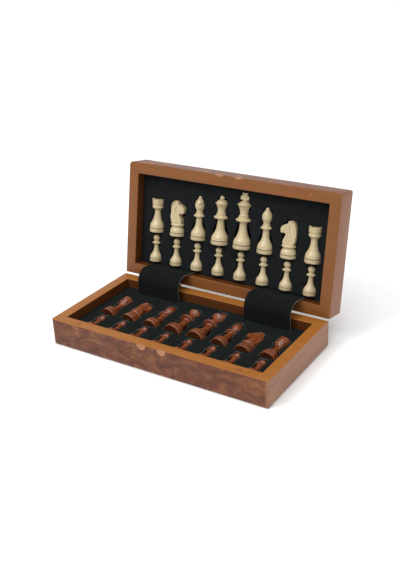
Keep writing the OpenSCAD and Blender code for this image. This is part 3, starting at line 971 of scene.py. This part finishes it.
@dataclass
class CaseHalf:
    """One half of the box: rails, board panel, inlaid squares, padding and magnets.

    Attributes:
        place: where the half sits.
        sizes: its sizes.
        finishes: every finish.
        edge_round: radius of the rubbed edges of the rails.
        foam_round: radius of the padding's cut edges.
        corner: size of the square at a corner of the plan that holds the corner's rounding.
    """

    place: Place
    sizes: CaseSizes
    finishes: Finishes
    edge_round: float = 0.7 * MM
    foam_round: float = 0.45 * MM
    corner: float = 8 * MM

    def build(self) -> None:
        """Builds the half."""
        for side in Side:
            self.rail(side)
        self.panel()
        self.padding()
        dress(self.node("light_squares"), self.finishes.maple, self.place)
        dress(self.node("dark_squares"), self.finishes.walnut, self.place)
        dress(self.node("magnets"), self.finishes.capped, self.place)

    def node(self, part: str) -> str:
        """Gives the full name of one of this half's nodes."""
        return f"{self.place.body}_{part}"

    @property
    def own(self) -> HalfFinishes:
        """The finishes that only this half has."""
        return self.finishes.half(self.place.body)

    def veneer(self) -> Material:
        """Builds the veneer that wraps this half."""
        return self.own.case.material(self.place, self.sizes.length / 2)

    def rail(self, side: Side) -> None:
        """Builds one rail: veneered outside, rim wood on top, the same wood darkened as painted
        shade on the inner walls, rubbed edges.
        """
        node = self.node(f"{side.value}_rail")
        rail = merged_copy(node, self.place.matrix().inverted())
        for face in rail.faces:
            face.material_index = self.layer(face).value
        rubbed = [edge for edge in rail.edges if self.is_rubbed(edge)]
        rounded(rail, rubbed, self.edge_round, segments=3)
        # After the veneer, in the order of the layers' numbers
        finishes = (self.own.rim, self.finishes.inside, self.finishes.bare)
        piece = publish(f"{node}_veneered", moved(rail, self.place.matrix()),
                        [self.veneer()] + [finish.material(self.place) for finish in finishes])
        fasten(piece, self.place.body, "case_veneer", node)

    def layer(self, face: bmesh.types.BMFace) -> Layer:
        """Gives the look of one of a rail's faces."""
        if UPRIGHT < abs(face.normal.z) < LEVEL:
            return Layer.SCOOP
        if abs(face.normal.z) >= LEVEL:
            return Layer.RIM
        middle = face.calc_center_median()
        outside = face.normal.x * middle.x + face.normal.y * middle.y > 0
        return Layer.VENEER if outside else Layer.INSIDE

    def is_rubbed(self, edge: bmesh.types.BMEdge) -> bool:
        """Tells whether an edge is a long edge of the rim's top, away from mitres and hinges."""
        top = all(abs(vertex.co.z - self.sizes.height) <= SAME for vertex in edge.verts)
        if not top or not is_sharp(edge):
            return False
        normals = [face.normal for face in edge.link_faces]
        if not any(normal.z > LEVEL for normal in normals):
            return False
        wall = min(normals, key=lambda normal: normal.z)
        mitre = abs(abs(wall.x) - abs(wall.y)) < DIAGONAL and not self.at_corner(edge)
        return not mitre and wall.z < NEARLY

    def at_corner(self, edge: bmesh.types.BMEdge) -> bool:
        """Tells whether an edge lies on a rounded corner of the plan."""
        middle = (edge.verts[0].co + edge.verts[1].co) / 2
        return (abs(middle.x) > self.sizes.length / 2 - self.corner
                and abs(middle.y) > self.sizes.depth / 2 - self.corner)

    def panel(self) -> None:
        """Builds the board panel, veneered to match the rails round its edge."""
        node = self.node("panel")
        panel = merged_copy(node, self.place.matrix().inverted())
        for face in panel.faces:
            face.material_index = 1 if face.normal.z < -MOSTLY else 0
        piece = publish(f"{node}_veneered", moved(panel, self.place.matrix()),
                        [self.veneer(), self.finishes.board.material(self.place)])
        fasten(piece, self.place.body, "case_veneer", node)

    def padding(self) -> None:
        """Builds the padding, with the lips of its pockets a little rounded."""
        node = self.node("foam")
        foam = merged_copy(node, self.place.matrix().inverted())
        lips = [edge for edge in foam.edges if self.is_lip(edge)]
        for face in rounded(foam, lips, self.foam_round, segments=2):
            face.material_index = 1
        # The lips take their own look: a painted highlight in the base, the plain flock in the lid
        looks = (self.own.flock, self.own.cut)
        piece = publish(f"{node}_flocked", moved(foam, self.place.matrix()),
                        [look.material(self.place) for look in looks])
        fasten(piece, self.place.body, self.own.flock.slot, node)

    def is_lip(self, edge: bmesh.types.BMEdge) -> bool:
        """Tells whether an edge is the upper edge of a pocket."""
        top = all(abs(vertex.co.z - self.sizes.foam_top) < SAME for vertex in edge.verts)
        return top and is_sharp(edge)


# ---- Hinges and straps ------------------------------------------------------------------------


@dataclass
class Hinges:
    """The two brass hinges with their pins and screws."""

    places: dict[str, Place]
    finishes: Finishes

    def build(self) -> None:
        """Dresses every hinge node."""
        for name, piece in frame["nodes"].items():
            if "hinge" in name:
                dress(name, self.finishes.brass, self.places[piece["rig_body"]])


@dataclass
class Strap:
    """A wide cloth strap that covers a hinge inside, tucked into the padding at both ends.

    Attributes:
        side: ``left`` or ``right``.
        sizes: the two halves' sizes.
        places: the two halves' places.
        finishes: every finish.
        thickness: of the cloth.
        bow: radius of the bow over the inside corner.
        base_gap: from the base's hinge-side rail to the strap.
        lid_gap: from the lid's hinge-side rail to the strap.
        tab: length of an end that is tucked in.
        slack: how far the free edges curl.
        curl: how suddenly the curl starts towards the edges, as a power.
        waves: height, as a share of the slack, and phase over half the width and over the length.
        narrowing: share of its width that the strap loses where it hangs free.
        across, along: faces over the width and the length.
        bow_steps: straight stretches in the bow.
    """

    side: str
    sizes: dict[str, CaseSizes]
    places: dict[str, Place]
    finishes: Finishes
    thickness: float = 1.1 * MM
    bow: float = 20 * MM
    base_gap: float = 11 * MM
    lid_gap: float = 2.5 * MM
    tab: float = 7 * MM
    slack: float = 0.5 * MM
    curl: int = 6
    waves: tuple[tuple[float, float, float], ...] = ((0.35, 5.3, 2.0), (0.3, 11.0, -3.0))
    narrowing: float = 0.012
    across: int = 40
    along: int = 72
    bow_steps: int = 24

    def line(self) -> list[Vector]:
        """Works out the strap's middle line: straight up, round the bow, into the lid."""
        base, lid = self.sizes["base"], self.sizes["lid"]
        inner = base.depth / 2 - base.rim
        start = Vector((0, inner - self.base_gap, base.foam_top))
        landing = self.places["lid"].matrix() @ Vector((0, inner - self.lid_gap, lid.foam_top))
        tilt = self.places["lid"].tilt
        into = Vector((0, math.sin(tilt), math.cos(tilt)))
        reach = (landing.y - start.y) / into.y
        centre = Vector((0, start.y + self.bow,
                         landing.z - reach * into.z - self.bow * math.tan(tilt / 2)))
        points = [start - Vector((0, 0, self.tab))]
        for i in range(self.bow_steps + 1):
            angle = math.pi - tilt * i / self.bow_steps
            points.append(centre + self.bow * Vector((0, math.cos(angle), math.sin(angle))))
        points.append(landing + self.tab * into)
        return points

    def point(self, line: Sequence[Vector], share: float) -> tuple[Vector, Vector]:
        """Gives the place and the direction at a share of the line's length."""
        lengths = [(b - a).length for a, b in zip(line, line[1:])]
        left = share * sum(lengths)
        for (a, b), length in zip(zip(line, line[1:]), lengths):
            if left <= length:
                return a.lerp(b, left / length), (b - a).normalized()
            left -= length
        return line[-1].copy(), (line[-1] - line[-2]).normalized()

    def length(self) -> float:
        """Gives the strap's flat length, tabs included."""
        line = self.line()
        return sum((b - a).length for a, b in zip(line, line[1:]))

    def build(self) -> None:
        """Builds the strap in its bow from the base into the lid."""
        node = f"{self.side}_strap"
        low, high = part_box(node)
        width, middle = high.x - low.x, (high.x + low.x) / 2
        line = self.line()
        cloth = bmesh.new()
        bmesh.ops.create_grid(cloth, x_segments=self.across, y_segments=self.along, size=0.5)
        for vertex in cloth.verts:
            u, share = vertex.co.x * 2, vertex.co.y + 0.5
            place, direction = self.point(line, share)
            out = Vector((0, -direction.z, direction.y))
            free = math.sin(math.pi * share) ** 2
            ripple = sum(height * math.sin(over_width * u + over_length * share)
                         for height, over_width, over_length in self.waves)
            lift = self.slack * free * (ripple + u ** self.curl)
            narrowed = 1 - self.narrowing * free * (1 - share)
            vertex.co = place + out * lift + Vector((middle + u * width / 2 * narrowed, 0, 0))
        bmesh.ops.recalc_face_normals(cloth, faces=cloth.faces)
        bmesh.ops.solidify(cloth, geom=cloth.faces[:], thickness=self.thickness)
        bmesh.ops.recalc_face_normals(cloth, faces=cloth.faces)
        cloth.normal_update()
        for face in cloth.faces:
            if abs(face.normal.x) > MOSTLY:
                face.material_index = 1
        base = self.places["base"]
        piece = publish(f"{self.side}_strap_cloth", cloth,
                        [self.finishes.velvet.material(base), self.finishes.hem.material(base)])
        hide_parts(node)
        line[0] + Vector((0, 0, self.tab))
        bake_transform(piece)
        self.length()


# ---- Chess pieces -----------------------------------------------------------------------------

# A cut of the lathe: radius and height as shares of the piece's own, and how far the stretch to
# the next cut bulges, as a share of its length (outwards above 0, inwards below).
Cut = tuple[float, float, float]

# The foot that all pieces share, its heights as shares of the foot's own height
FOOT: list[Cut] = [
    (0.0, 0.0, 0.0), (0.93, 0.0, 0.2), (1.0, 0.05, 0.0), (1.0, 0.27, 0.3), (0.96, 0.32, 0.0),
    (0.885, 0.33, 0.0), (0.885, 0.41, 0.0), (0.94, 0.42, 0.35), (0.955, 0.52, 0.08),
    (0.86, 0.82, 0.05), (0.72, 1.0, -0.02)]

# Where the foot's groove starts and ends, as shares of the foot's own height
GROOVE = (0.32, 0.42)
# A face that is lower than this share of the foot's height and looks down is the bottom
BOTTOM = 0.02

# The foot's height as a share of the piece's, and the cuts above the foot
SHAFTS: dict[Kind, tuple[float, list[Cut]]] = {
    Kind.KING: (0.2, [
        (0.52, 0.29, -0.03), (0.43, 0.37, -0.01), (0.4, 0.488, -0.2), (0.78, 0.498, 0.25),
        (0.85, 0.513, 0.3), (0.82, 0.53, -0.05), (0.58, 0.562, 0.4), (0.57, 0.58, 0.0),
        (0.49, 0.585, 0.4), (0.49, 0.604, 0.0), (0.44, 0.62, -0.03), (0.47, 0.665, -0.04),
        (0.6, 0.735, -0.04), (0.76, 0.783, 0.45), (0.76, 0.798, 0.0), (0.68, 0.802, 0.12),
        (0.42, 0.838, 0.2), (0.0, 0.85, 0.0)]),
    Kind.QUEEN: (0.215, [
        (0.52, 0.3, -0.03), (0.43, 0.38, -0.01), (0.38, 0.47, 0.0), (0.38, 0.528, -0.2),
        (0.74, 0.538, 0.25), (0.8, 0.553, 0.3), (0.76, 0.572, -0.06), (0.54, 0.608, 0.4),
        (0.52, 0.63, 0.0), (0.46, 0.635, 0.4), (0.46, 0.655, 0.0), (0.43, 0.68, -0.03),
        (0.45, 0.725, -0.05), (0.58, 0.79, -0.03), (0.7, 0.833, 0.45), (0.68, 0.85, 0.0),
        (0.62, 0.856, 0.15), (0.3, 0.912, -0.1), (0.16, 0.924, 0.0)]),
    Kind.BISHOP: (0.235, [
        (0.5, 0.32, -0.03), (0.42, 0.42, -0.01), (0.38, 0.527, -0.2), (0.66, 0.537, 0.25),
        (0.72, 0.552, 0.3), (0.68, 0.57, -0.06), (0.48, 0.605, 0.4), (0.44, 0.628, 0.0),
        (0.4, 0.633, 0.4), (0.4, 0.655, 0.0), (0.4, 0.668, 0.03), (0.54, 0.72, 0.06),
        (0.63, 0.79, 0.06), (0.5, 0.885, 0.03), (0.24, 0.945, -0.1), (0.15, 0.953, 0.0)]),
    Kind.ROOK: (0.31, [
        (0.52, 0.44, -0.03), (0.43, 0.56, -0.01), (0.42, 0.64, -0.1), (0.55, 0.69, 0.1),
        (0.72, 0.735, 0.3), (0.74, 0.765, 0.0), (0.74, 0.795, 0.2), (0.7, 0.81, -0.3),
        (0.7, 0.825, 0.0), (0.75, 0.835, 0.0), (0.79, 0.88, 0.0), (0.8, 0.985, 0.3),
        (0.775, 1.0, 0.0), (0.6, 1.0, 0.3), (0.58, 0.985, 0.0), (0.56, 0.93, -0.1),
        (0.3, 0.92, 0.0), (0.0, 0.92, 0.0)]),
    Kind.PAWN: (0.28, [
        (0.5, 0.385, -0.03), (0.38, 0.51, -0.01), (0.34, 0.655, -0.2), (0.62, 0.67, 0.3),
        (0.68, 0.695, 0.3), (0.64, 0.722, -0.1), (0.42, 0.755, -0.1), (0.34, 0.775, 0.0)]),
    Kind.KNIGHT: (0.25, [
        (0.72, 0.262, 0.0), (0.72, 0.285, 0.0), (0.82, 0.29, 0.35), (0.82, 0.35, 0.0),
        (0.76, 0.36, 0.0), (0.0, 0.37, 0.0)])}

# Radius of the ball on top, as a share of the base's
BALLS: dict[Kind, float] = {Kind.QUEEN: 0.27, Kind.BISHOP: 0.25, Kind.PAWN: 0.54}


@dataclass
class ChessPiece:
    """One turned piece, lying in its pocket.

    Attributes:
        kind: its kind.
        army: its colour.
        name: its CAD node's name.
        place: the half of the box that it lies in.
        column: X of its axis.
        axis_height: height of its axis in the half.
        finish: its wood.
        roll: turn about its own axis, which chooses the side that shows.
        look: 1 if a knight looks along +X, and -1 the other way.
        steps: faces round the axis.
        chord: length of the flats that a bulge is made of.
        flats: the fewest and the most of them in one bulge.
        ball_steps: flats from the neck to the pole of the ball on top.
        radius, height: its size, read from the node.
        foot_y: Y of its bottom.
        heading: 1 if its head points along +Y, and -1 the other way.
    """

    kind: Kind
    army: Army
    name: str
    place: Place
    column: float
    axis_height: float
    finish: WoodFinish
    roll: float = 0.0
    look: int = 1
    steps: int = 56
    chord: float = 0.7 * MM
    flats: tuple[int, int] = (3, 10)
    ball_steps: int = 14
    radius: float = field(init=False)
    height: float = field(init=False)
    foot_y: float = field(init=False)
    heading: int = field(init=False)

    def __post_init__(self) -> None:
        """Reads the piece's size and place from its CAD node."""
        low, high = self.place.local_box(self.name)
        self.height = high.y - low.y
        self.radius = self.axis_height - low.z
        self.heading = 1 if self.army is Army.DARK else -1
        self.foot_y = low.y if self.heading > 0 else high.y

    def profile(self) -> list[tuple[float, float]]:
        """Works out the lathe's profile from the cuts."""
        foot, shaft = SHAFTS[self.kind]
        cuts = [(r, z * foot, bulge) for r, z, bulge in FOOT] + shaft
        fewest, most = self.flats
        points: list[tuple[float, float]] = []
        for (r, z, bulge), (next_r, next_z, _) in zip(cuts, cuts[1:]):
            start = Vector((r * self.radius, z * self.height))
            end = Vector((next_r * self.radius, next_z * self.height))
            across = end - start
            out = Vector((across.y, -across.x))
            wanted = round(across.length / self.chord)
            count = 1 if bulge == 0 else max(fewest, min(most, wanted))
            for i in range(count):
                t = i / count
                point = start + across * t + out * (4 * bulge * t * (1 - t))
                points.append((max(point.x, 0.0), point.y))
        points.append((cuts[-1][0] * self.radius, cuts[-1][1] * self.height))
        if self.kind in BALLS:
            points += self.ball(BALLS[self.kind] * self.radius, points[-1][0])
        return points

    def ball(self, size: float, neck: float) -> list[tuple[float, float]]:
        """Gives the profile of the ball on top, from where the neck meets it to its pole."""
        middle = self.height - size
        first = math.asin(min(1.0, neck / size))
        angles = [first + (math.pi - first) * i / self.ball_steps
                  for i in range(1, self.ball_steps + 1)]
        return [(size * math.sin(a), middle - size * math.cos(a)) for a in angles]

    def shape(self) -> Mesh:
        """Builds the piece standing on the origin."""
        return spun(self.profile(), self.steps)

    def soaks(self, face: bmesh.types.BMFace) -> bool:
        """Tells whether a face of the standing piece is its bottom or lies in the foot's groove, the
        faces that get painted shade.
        """
        height = face.calc_center_median().z / (SHAFTS[self.kind][0] * self.height)
        bottom = height < BOTTOM and face.normal.z < -NEARLY
        return bottom or GROOVE[0] < height < GROOVE[1]

    def build(self) -> None:
        """Builds the piece and lays it in its pocket."""
        # Standing Z becomes the half's Y, and standing -Y faces out of the tray
        lying = Matrix.Rotation(math.radians(-90), 4, "X")
        if self.heading < 0:
            lying = Matrix.Rotation(math.pi, 4, "Z") @ lying
        there = Matrix.Translation((self.column, self.foot_y, self.axis_height))
        roll = Matrix.Rotation(self.roll, 4, "Z")
        mesh = self.shape()
        mesh.normal_update()
        # Bottom and groove faces take the darker wood: painted shade, over the end grain's own
        # darker tone
        for face in mesh.faces:
            face.material_index = 1 if self.soaks(face) else 0
        mesh = moved(mesh, self.place.matrix() @ there @ lying @ roll)
        woods = (self.finish, self.finish.end_grain())
        piece = publish(f"{self.name}_turned", mesh, [wood.material(self.place) for wood in woods])
        fasten(piece, self.name, self.finish.slot, self.name)


@dataclass
class King(ChessPiece):
    """A king: its cross is cut from a flat board with rounded arms.

    Attributes:
        cross_foot: where the cross starts, as a share of the piece's height.
        cross_thickness: of the board.
        rounding: radius of its edges.
    """

    cross_foot: float = 0.82
    cross_thickness: float = 4.4 * MM
    rounding: float = 0.9 * MM

    def shape(self) -> Mesh:
        """Builds the turned body with the cross on it."""
        return joined([super().shape(), self.cross()])

    def cross(self) -> Mesh:
        """Cuts the cross and rounds its edges."""
        half = self.radius / 2
        foot = self.cross_foot * self.height
        tall = self.height - foot
        right = [(0.56, 0.0), (0.54, 0.15), (0.44, 0.33), (0.66, 0.31), (0.94, 0.28),
                 (1.0, 0.38), (1.0, 0.62), (0.94, 0.72), (0.66, 0.68), (0.46, 0.66),
                 (0.6, 0.84), (0.74, 0.95), (0.6, 1.0)]
        outline = right + [(-x, z) for x, z in reversed(right)]
        board = slab([(x * half, foot + z * tall) for x, z in outline], self.cross_thickness)
        rims = [edge for edge in board.edges
                if abs(edge.verts[0].co.y - edge.verts[1].co.y) < SAME]
        rounded(board, rims, self.rounding, segments=3, clamp=True)
        return board


@dataclass
class Bishop(ChessPiece):
    """A bishop: a slanting slit in its head.

    Attributes:
        slit: width of the slit.
        slant: its slope, in degrees.
    """

    slit: float = 1.1 * MM
    slant: float = 40.0

    def shape(self) -> Mesh:
        """Builds the turned body and saws the slit."""
        size = Matrix.Diagonal((0.9 * self.radius, 2 * self.radius, self.slit, 1.0))
        tilt = Matrix.Rotation(math.radians(-self.slant), 4, "Y")
        spot = Matrix.Translation((0.55 * self.radius, 0, 0.86 * self.height))
        return carved(super().shape(), [block(spot @ tilt @ size)])


@dataclass
class Rook(ChessPiece):
    """A rook: a band and a groove under a crown with shallow notches.

    Attributes:
        notch: width of a notch.
        notch_depth: its depth.
        notches: how many there are, in pairs across the crown.
    """

    notch: float = 1.5 * MM
    notch_depth: float = 1.1 * MM
    notches: int = 6

    def shape(self) -> Mesh:
        """Builds the turned body and cuts the notches."""
        cutters = []
        for i in range(self.notches // 2):
            size = Matrix.Diagonal((3 * self.radius, self.notch, 2 * self.notch_depth, 1.0))
            turn = Matrix.Rotation(2 * math.pi * i / self.notches + math.pi / 6, 4, "Z")
            cutters.append(block(Matrix.Translation((0, 0, self.height)) @ turn @ size))
        return carved(super().shape(), cutters)


@dataclass
class Knight(ChessPiece):
    """A knight: a carved horse's head on a turned foot.

    Attributes:
        thickness: of the board that the head is carved from.
        voxel: fineness of the carving.
        passes: rounds of rubbing down that ease its edges.
        groove: radius of the gouge that parts the mane from the neck.
    """

    thickness: float = 12.4 * MM
    voxel: float = 0.35 * MM
    passes: int = 3
    groove: float = 1.5 * MM

    def shape(self) -> Mesh:
        """Builds the foot and the head."""
        return joined([super().shape(), self.head()])

    def spot(self, x: float, z: float) -> tuple[float, float]:
        """Turns shares of the radius and the height into a place on the head."""
        return x * self.radius, z * self.height

    def head(self) -> Mesh:
        """Carves the head: outline, mane, mouth, nostril, eye and ear."""
        outline = [(-0.62, 0.35), (-0.76, 0.39), (-0.9, 0.5), (-0.93, 0.62), (-0.91, 0.74),
                   (-0.83, 0.85), (-0.68, 0.93), (-0.45, 0.985), (-0.28, 1.0), (-0.06, 0.99),
                   (0.12, 0.985), (0.17, 0.93), (0.24, 0.9), (0.48, 0.9), (0.7, 0.87),
                   (0.95, 0.825), (1.08, 0.79), (1.11, 0.74), (1.07, 0.68), (0.95, 0.65),
                   (0.7, 0.665), (0.46, 0.65), (0.36, 0.62), (0.48, 0.565), (0.66, 0.49),
                   (0.74, 0.42), (0.66, 0.35)]
        board = slab([self.spot(x, z) for x, z in outline], self.thickness)
        carving = carved(board, self.gouges())
        carving = modified(carving, [
            ("REMESH", {"mode": "VOXEL", "voxel_size": self.voxel}),
            ("SMOOTH", {"factor": 0.6, "iterations": self.passes})])
        turn = Matrix.Scale(self.look, 4, Vector((1, 0, 0)))
        return moved(carving, turn)

    def gouges(self) -> list[Mesh]:
        """Makes the cutters of the carving, for both sides of the head."""
        cutters = []
        for side in (-1, 1):
            face = side * self.thickness / 2
            mane = self.arc((0.85, 0.66), (-0.12, 0.97), 66, self.groove, face)
            jaw = self.arc((1.5, 0.72), (0.0, 0.86), 34, 0.8 * self.groove, face)
            eye = self.dimple(0.4, 0.835, 1.3 * MM, face)
            nostril = self.dimple(0.96, 0.76, 1.0 * MM, face)
            cutters += [mane, jaw, eye, nostril]
        x, z = self.spot(0.92, 0.7)
        size = Matrix.Diagonal((5 * MM, 2 * self.thickness, 0.7 * MM, 1.0))
        spot = Matrix.Translation((x + 1.2 * MM, 0, z))
        mouth = block(spot @ Matrix.Rotation(0.2, 4, "Y") @ size)
        return cutters + [mouth]

    def arc(self, centre: tuple[float, float], start: tuple[float, float], sweep: float,
            gouge: float, face: float) -> Mesh:
        """Makes a curved gouge.

        Args:
            centre: the middle of its curve, in shares.
            start: where it starts, in shares.
            sweep: the angle it runs through, in degrees, downwards.
            gouge: its radius.
            face: Y of the side that it cuts.

        Returns:
            The cutter.
        """
        cx, cz = self.spot(*centre)
        sx, sz = self.spot(*start)
        cutter = bmesh.new()
        ring = bmesh.ops.create_circle(cutter, segments=10, radius=gouge, cap_ends=True)["verts"]
        towards = math.atan2(sz - cz, sx - cx)
        section = (Matrix.Translation((sx, face, sz)) @ Matrix.Rotation(-towards, 4, "Y"))
        bmesh.ops.transform(cutter, matrix=section, verts=ring)
        bmesh.ops.spin(cutter, geom=cutter.faces[:] + cutter.edges[:], cent=(cx, face, cz),
                       axis=(0, -1, 0), angle=math.radians(sweep), steps=14,
                       use_duplicate=False)
        bmesh.ops.remove_doubles(cutter, verts=cutter.verts, dist=0.001 * MM)
        bmesh.ops.holes_fill(cutter, edges=[e for e in cutter.edges if e.is_boundary])
        bmesh.ops.recalc_face_normals(cutter, faces=cutter.faces)
        return cutter

    def dimple(self, x: float, z: float, size: float, face: float) -> Mesh:
        """Makes a round cutter at a place on one side of the head."""
        px, pz = self.spot(x, z)
        ball = bmesh.new()
        bmesh.ops.create_icosphere(ball, subdivisions=2, radius=size)
        ball.transform(Matrix.Translation((px, face, pz)))
        return ball


@dataclass
class Armies:
    """Both armies, each piece over its CAD node."""

    places: dict[str, Place]
    sizes: dict[str, CaseSizes]
    finishes: Finishes

    def build(self) -> None:
        """Builds all 32 pieces."""
        makers = {Kind.KING: King, Kind.BISHOP: Bishop, Kind.ROOK: Rook, Kind.KNIGHT: Knight}
        for name in sorted(frame["nodes"]):
            army = next((army for army in Army if name.startswith(f"{army.value}_")), None)
            if army is None:
                continue
            kind = next(kind for kind in Kind if kind.value in name)
            maker = makers.get(kind, ChessPiece)
            place, rest = self.places[army.body], self.sizes[army.body].rest
            finish = self.finishes.rosewood if army is Army.DARK else self.finishes.boxwood
            maker(kind, army, name, place, self.column(name, army), rest, finish,
                  roll=self.roll(name, kind), look=self.look(name, army)).build()

    def column(self, name: str, army: Army) -> float:
        """Gives X of a piece's column, the middle of the pawn's node nearest to it."""
        place = self.places[army.body]
        low, high = place.local_box(name)
        middle = (low.x + high.x) / 2
        pawns = [place.local_box(f"{army.value}_pawn_{i}") for i in range(1, 9)]
        return min(((a.x + b.x) / 2 for a, b in pawns), key=lambda x: abs(x - middle))

    def roll(self, name: str, kind: Kind) -> float:
        """Turns a piece so that the side seen in the tray shows."""
        if kind is Kind.BISHOP:
            return math.radians(180 if "left" in name else 90)
        return 0.0

    def look(self, name: str, army: Army) -> int:
        """Gives the way a knight looks before it is laid down: both look to the middle."""
        inwards = 1 if "left" in name else -1
        return inwards if army is Army.DARK else -inwards


# ---- Studio -----------------------------------------------------------------------------------


@dataclass
class Studio:
    """Plain pale floor, soft light and the camera.

    Attributes:
        eye: where the camera stands.
        target: the point that it looks at.
        roll: its tilt to the side, in degrees.
        lens: focal length in millimetres on a 36 mm frame.
        shift: of the lens, as shares of the long side of the picture.
        sky: strength of the even light from all round.
        daylight: strength of the broad light from above.
        gleam: power of the small lamp that puts the highlights on the turned pieces.
        daylight_spot, gleam_spot: where the two lights hang.
        daylight_angle: how broad the light from above is, in degrees.
        gleam_size: side of the lamp.
    """

    eye: tuple[float, float, float] = (0.6213, -0.8826, 0.6185)
    target: tuple[float, float, float] = (0.055, -0.0056, 0.1361)
    roll: float = -2.55
    lens: float = 50.84
    shift: tuple[float, float] = (-0.0239, -0.0212)
    sky: float = 0.62
    daylight: float = 1.7
    gleam: float = 11.0
    daylight_spot: tuple[float, float, float] = (0.15, -0.45, 1.6)
    gleam_spot: tuple[float, float, float] = (-0.5, -1.0, 1.5)
    daylight_angle: float = 60.0
    gleam_size: float = 0.5

    def build(self) -> None:
        """Builds the studio."""
        self.camera()
        self.floor()
        key = self.light("key_light", "SUN", self.daylight_spot, self.daylight)
        key.angle = math.radians(self.daylight_angle)
        gleam = self.light("gleam_light", "AREA", self.gleam_spot, self.gleam)
        gleam.size = self.gleam_size
        world = bpy.data.worlds.new("studio")
        world.use_nodes = True
        background = world.node_tree.nodes["Background"]
        background.inputs["Color"].default_value = (1.0, 1.0, 1.0, 1.0)
        background.inputs["Strength"].default_value = self.sky
        bpy.context.scene.world = world
        bpy.context.scene.view_settings.view_transform = "Standard"

    def camera(self) -> None:
        """Places the camera."""
        eye, target = Vector(self.eye), Vector(self.target)
        forward = (target - eye).normalized()
        level = forward.cross(Vector((0, 0, 1))).normalized()
        upright = level.cross(forward)
        roll = math.radians(self.roll)
        right = level * math.cos(roll) + upright * math.sin(roll)
        up = right.cross(forward)
        data = bpy.data.cameras.new("camera")
        data.lens = self.lens
        data.shift_x, data.shift_y = self.shift
        data.clip_start = 0.01
        camera = bpy.data.objects.new("camera", data)
        axes = Matrix((right, up, -forward)).transposed().to_4x4()
        camera.matrix_world = Matrix.Translation(eye) @ axes
        bpy.context.scene.collection.objects.link(camera)
        bpy.context.scene.camera = camera

    def floor(self) -> None:
        """Lays the floor."""
        plane = bmesh.new()
        bmesh.ops.create_grid(plane, x_segments=1, y_segments=1, size=14.0)
        plane.transform(Matrix.Translation((0, 0, -0.1 * MM)))
        paper = Graph("studio_floor").surface(Base_Color=(0.93, 0.93, 0.93), Roughness=0.9)
        publish("studio_floor", plane, [paper])

    def light(self, name: str, kind: str, spot: tuple[float, float, float],
              power: float) -> bpy.types.Light:
        """Hangs a light that faces the box.

        Args:
            name: its name.
            kind: its type.
            spot: where it hangs.
            power: its strength, in the units of its type.

        Returns:
            The light's data.
        """
        data = bpy.data.lights.new(name, kind)
        data.energy = power
        light = bpy.data.objects.new(name, data)
        aim = Vector(self.target) - Vector(spot)
        turn = aim.to_track_quat("-Z", "Y").to_matrix().to_4x4()
        light.matrix_world = Matrix.Translation(spot) @ turn
        bpy.context.scene.collection.objects.link(light)
        return data


# ---- Build ------------------------------------------------------------------------------------


def main() -> None:
    """Builds the object and its studio."""
    logging.basicConfig(level=logging.INFO, format="%(message)s")
    halves, finishes = places(), Finishes()
    sizes = {army.body: CaseSizes.measured(halves[army.body], army) for army in Army}
    Studio().build()
    for body, place in halves.items():
        CaseHalf(place, sizes[body], finishes).build()
    Hinges(halves, finishes).build()
    for side in ("left", "right"):
        Strap(side, sizes, halves, finishes).build()
    Armies(halves, sizes, finishes).build()


if __name__ == "__main__":
    main()
